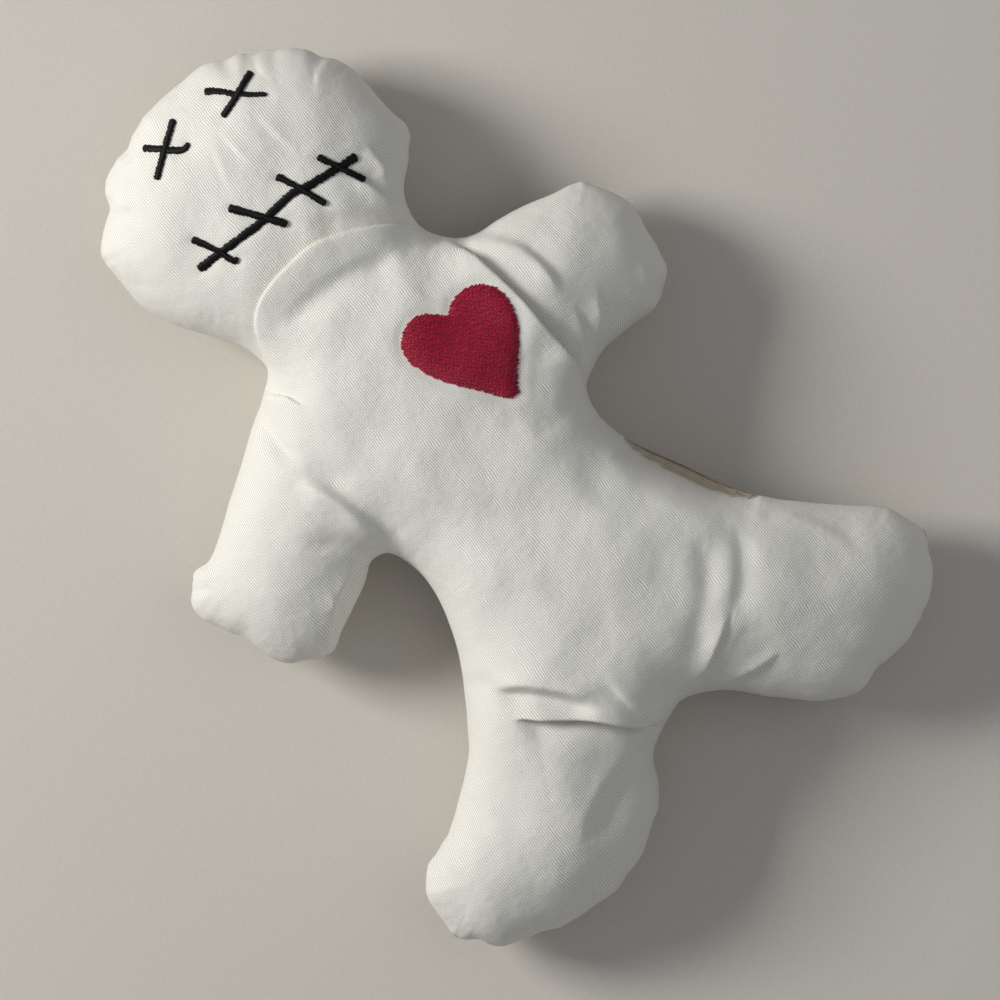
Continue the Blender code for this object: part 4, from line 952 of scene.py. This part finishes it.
def calico_cotton():
    """Unbleached plain weave: warp ribs up the doll, finer weft across, and slubs in both, with painted
    shade in the hollows between the threads and on the strip at the hand-closed gap.
    """
    material, tree, shader = new_material(
        "calico cotton", Roughness=0.9, Sheen_Weight=0.06, Sheen_Roughness=0.5)
    cloth = add(tree, "ShaderNodeUVMap", uv_map="cloth").outputs[0]
    wander = noise(tree, cloth, 0.16, 2.0)  # threads drift by part of their pitch
    part = add(tree, "ShaderNodeSeparateXYZ", {0: cloth})
    warp_drift, weft_drift = maths(tree, "MULTIPLY", wander, 9.0), maths(tree, "MULTIPLY", wander, 6.0)
    warp = maths(tree, "MULTIPLY_ADD", part.outputs[0], math.pi / WARP_PITCH, warp_drift)
    weft = maths(tree, "MULTIPLY_ADD", part.outputs[1], math.pi / WEFT_PITCH, weft_drift)
    rib = maths(tree, "ABSOLUTE", maths(tree, "SINE", warp))
    rib_number = maths(tree, "FLOOR", maths(tree, "MULTIPLY", warp, 1 / math.pi))
    turn = maths(tree, "MULTIPLY", rib_number, math.pi)
    over = maths(tree, "SINE", maths(tree, "ADD", weft, turn))
    pick = maths(tree, "ABSOLUTE", maths(tree, "SINE", weft))
    slub = noise(tree, stretched(tree, cloth, (1.8, 0.07, 1)), 1.0, 3.0, 0.6)  # thick places along the warp
    rib_height = maths(tree, "MULTIPLY", rib, maths(tree, "MULTIPLY_ADD", over, 0.07, 0.93))
    hollow = maths(tree, "SUBTRACT", 1.0, rib)
    between = maths(tree, "MULTIPLY", hollow, maths(tree, "MULTIPLY", pick, 0.12))
    threads = maths(tree, "ADD", rib_height, between)
    weave = maths(tree, "MULTIPLY_ADD", slub, 0.9, threads)
    # Painted shade: the cloth is coloured darker in the hollows between the threads, where the weave's
    # height is low
    tone = mixed(tree, threads, "#b6b3a7", "#f8f6f0")
    patch = noise(tree, cloth, 0.05, 3.0)  # faint unevenness in the unbleached cotton
    fleck = noise(tree, stretched(tree, cloth, (1.0, 0.45, 1)), 1.3, 1.0)
    fleck = add(tree, "ShaderNodeMapRange", {0: fleck, 1: 0.76, 2: 0.82, 3: 0.0, 4: 0.35}).outputs[0]
    tone = mixed(tree, maths(tree, "MULTIPLY", patch, 0.10), tone, "#e4dcc8")
    tone = mixed(tree, fleck, tone, "#b9a988")
    strip = add(tree, "ShaderNodeAttribute", attribute_name="strip").outputs["Fac"]
    # Painted shade: the strip of back panel at the hand-closed gap lies in shade, so it is coloured a
    # darker brown
    tone = mixed(tree, maths(tree, "MULTIPLY", strip, 0.8), tone, "#b3a388")
    crease = bumped(tree, noise(tree, cloth, 0.22, 4.0, 0.55), 0.0004)  # soft unevenness of handled cloth
    finished(shader, tone, bumped(tree, weave, WEAVE_DEPTH, crease))
    return material


def black_rayon():
    """Black embroidery thread with the low gloss of rayon and its twisted fibres."""
    material, tree, shader = new_material("black rayon thread", Roughness=0.5, Specular_IOR_Level=0.22)
    fibres = noise(tree, own_place(tree), 6000, 2.0)
    finished(shader, mixed(tree, fibres, "#010101", "#060606"), bumped(tree, fibres, 0.00004))
    return material


def crimson_rayon():
    """Crimson embroidery thread: fibres run along the rows, and the shade shifts from row to row."""
    material, tree, shader = new_material("crimson rayon thread", Roughness=0.45, Specular_IOR_Level=0.35)
    place = own_place(tree)
    fibres = noise(tree, stretched(tree, place, (700, 7000, 7000)), 1.0, 3.0)
    shade = noise(tree, stretched(tree, place, (500, 2200, 1)), 1.0, 2.0)
    shade = add(tree, "ShaderNodeMapRange", {0: shade, 1: 0.35, 2: 0.68}).outputs[0]
    finished(shader, mixed(tree, shade, "#850024", "#b2083a"), bumped(tree, fibres, 0.00005))
    return material


def sewing_cotton():
    """Natural sewing thread, two plies twisted."""
    material, tree, shader = new_material("natural sewing thread", Roughness=0.8)
    wave = {"Vector": own_place(tree), "Scale": 900, "Distortion": 1.0}
    plies = add(tree, "ShaderNodeTexWave", wave).outputs["Fac"]
    # Painted shade: the thread is coloured darker in the grooves of the twist, where the plies' height is
    # low
    finished(shader, mixed(tree, plies, "#b9ad95", "#cfc5b0"), bumped(tree, plies, 0.00006))
    return material


def floor_material():
    """Plain matt floor, with a very faint grain so that the shadow lies on something."""
    material, tree, shader = new_material("pale studio floor", Roughness=0.95)
    grain = noise(tree, own_place(tree), 900, 3.0, 0.6)
    tree.links.new(mixed(tree, grain, "#c6c1b7", "#d2cdc4"), shader.inputs["Base Color"])
    return material


def dressed(piece, nodes):
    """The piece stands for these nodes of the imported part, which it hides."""
    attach(piece, "root")
    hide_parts(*nodes)


def puffed(vertices, faces):
    """The surface after a cloth simulation under the filling's pressure.

    A remeshed copy, shrunk a little, swells under pressure without gravity. How far each of its
    points moves, less the mean swelling, is capped, blurred and carried over to the surface.
    """
    rough = mesh_object("pressure_form", vertices, faces, bpy.data.materials.new("form"))
    remesh = rough.modifiers.new("Remesh", "REMESH")
    remesh.mode = "VOXEL"
    remesh.voxel_size = SWELL_VOXEL * MM
    graph = bpy.context.evaluated_depsgraph_get()
    form = bpy.data.meshes.new_from_object(rough.evaluated_get(graph))
    bpy.data.objects.remove(rough)
    count = len(form.vertices)
    start, normal = np.empty(count * 3, np.float32), np.empty(count * 3, np.float32)
    form.vertices.foreach_get("co", start)
    form.vertices.foreach_get("normal", normal)
    start, normal = start.reshape(-1, 3), normal.reshape(-1, 3)
    form.vertices.foreach_set("co", (start - SWELL_SHRINK * MM * normal).ravel())
    form.update()
    skin = linked("pressure_form", form)
    cloth = skin.modifiers.new("Cloth", "CLOTH")
    cloth.settings.quality = 6
    cloth.settings.mass = 0.15
    cloth.settings.use_pressure = True
    cloth.settings.uniform_pressure_force = 4
    cloth.settings.effector_weights.gravity = 0
    cloth.settings.bending_stiffness = 0.3
    for number in range(1, SWELL_FRAMES + 1):
        bpy.context.scene.frame_set(number)
    end = np.empty(count * 3, np.float32)
    swollen = skin.evaluated_get(bpy.context.evaluated_depsgraph_get()).to_mesh()
    swollen.vertices.foreach_get("co", end)
    bpy.data.objects.remove(skin)
    bpy.context.scene.frame_set(1)
    moved = (end.reshape(-1, 3) - start) / MM
    moved -= (moved * normal).sum(1).mean() * normal
    length = np.linalg.norm(moved, axis=1, keepdims=True)
    moved *= SWELL_CAP * np.tanh(length / SWELL_CAP) / np.maximum(length, 1e-9)
    tree = KDTree(count)
    for number, place in enumerate(start / MM):
        tree.insert(place, number)
    tree.balance()
    near = [tree.find_n(place, 10) for place in vertices]
    number = np.array([[hit[1] for hit in hits] for hits in near])
    away = np.array([[hit[2] for hit in hits] for hits in near])
    share = np.exp(-((away / SWELL_VOXEL) ** 2)) + 1e-9
    carried = (moved[number] * share[..., None]).sum(1) / share.sum(1, keepdims=True)
    carried *= eased((vertices[:, 2:] - 0.3) / 5)
    return vertices + carried


def build_body():
    vertices, faces, cloth, strip = assemble_body()
    vertices = puffed(vertices, faces)
    piece = mesh_object("stuffed_calico_body", vertices, faces, calico_cotton(), cloth, strip)
    dressed(piece, ["front_panel", "back_panel", "stuffing"])
    return piece


def skin_of(piece):
    """A lookup of the body's front, in millimetres."""
    coordinates = np.empty(len(piece.data.vertices) * 3, np.float32)
    piece.data.vertices.foreach_get("co", coordinates)
    corners = [tuple(face.vertices) for face in piece.data.polygons]
    tree = BVHTree.FromPolygons((coordinates.reshape(-1, 3) / MM).tolist(), corners)

    def height(xy):
        hits = (tree.ray_cast(Vector((x, y, 1000)), Vector((0, 0, -1)))[0] for x, y in xy)
        return np.array([hit.z if hit else 0 for hit in hits])

    return height


def build_embroidery(cloth):
    black = black_rayon()
    left = [satin_bar(bar, cloth, SATIN_HEIGHT + 0.25 * k, 40 + k) for k, bar in enumerate(LEFT_EYE)]
    right = [satin_bar(bar, cloth, SATIN_HEIGHT + 0.25 * k, 50 + k) for k, bar in enumerate(RIGHT_EYE)]
    mouth = [satin_bar(MOUTH_LINE, cloth, SATIN_HEIGHT, 60)]
    mouth += [satin_bar(bar, cloth, SATIN_HEIGHT + 0.3, 61 + k) for k, bar in enumerate(MOUTH_BARS)]
    for name, surface, material, node, slot in (
            ("left_eye_cross", joined(left), black, "eye_left", "black_thread"),
            ("right_eye_cross", joined(right), black, "eye_right", "black_thread"),
            ("stitched_mouth", joined(mouth), black, "mouth_stitches", "black_thread"),
            ("heart_fill", heart_fill(cloth), crimson_rayon(), "heart_embroidery", "crimson_thread"),
            ("whip_stitches", closing_stitches(cloth), sewing_cotton(), "closing_stitches",
             "sewing_thread")):
        dressed(mesh_object(name, *surface, material), [node])


def camera():
    """Straight above the doll, as in the photograph, with the head to the upper left."""
    data = bpy.data.cameras.new("camera")
    seen = linked("camera", data)
    middle = placed([VIEW_CENTRE])[0]
    seen.location = (middle[0] * MM, middle[1] * MM, (SEAM_HEIGHT + CAMERA_DISTANCE) * MM)
    seen.rotation_euler = (0, 0, math.radians(-VIEW_ROLL))
    data.angle = 2 * math.atan(VIEW_WIDTH / 2 / CAMERA_DISTANCE)
    bpy.context.scene.camera = seen


def area_light(name, place, size, power, colour):
    data = bpy.data.lights.new(name, "AREA")
    data.size = size
    data.energy = power
    data.color = colour
    lamp = linked(name, data)
    lamp.location = place
    lamp.rotation_euler = Vector(place).to_track_quat("Z", "Y").to_euler()


def studio():
    corners = np.array([[-2000, -2000, 0], [2000, -2000, 0], [2000, 2000, 0], [-2000, 2000, 0]])
    floor = mesh_object("floor", corners, [np.array([[0, 1, 2, 3]])], floor_material())
    area_light("window", (-0.55, 0.78, 0.64), 0.4, 11.8, (1, 0.99, 0.97))
    area_light("fill", (0.7, -0.5, 1.3), 1.2, 2.3, (0.96, 0.98, 1))
    world = bpy.data.worlds.new("studio")
    bpy.context.scene.world = world
    world.use_nodes = True
    background = world.node_tree.nodes["Background"]
    background.inputs["Color"].default_value = (0.9, 0.93, 1, 1)
    background.inputs["Strength"].default_value = 0.24
    bpy.context.scene.view_settings.view_transform = "Standard"


def main():
    camera()
    studio()
    body = build_body()
    build_embroidery(skin_of(body))


main()
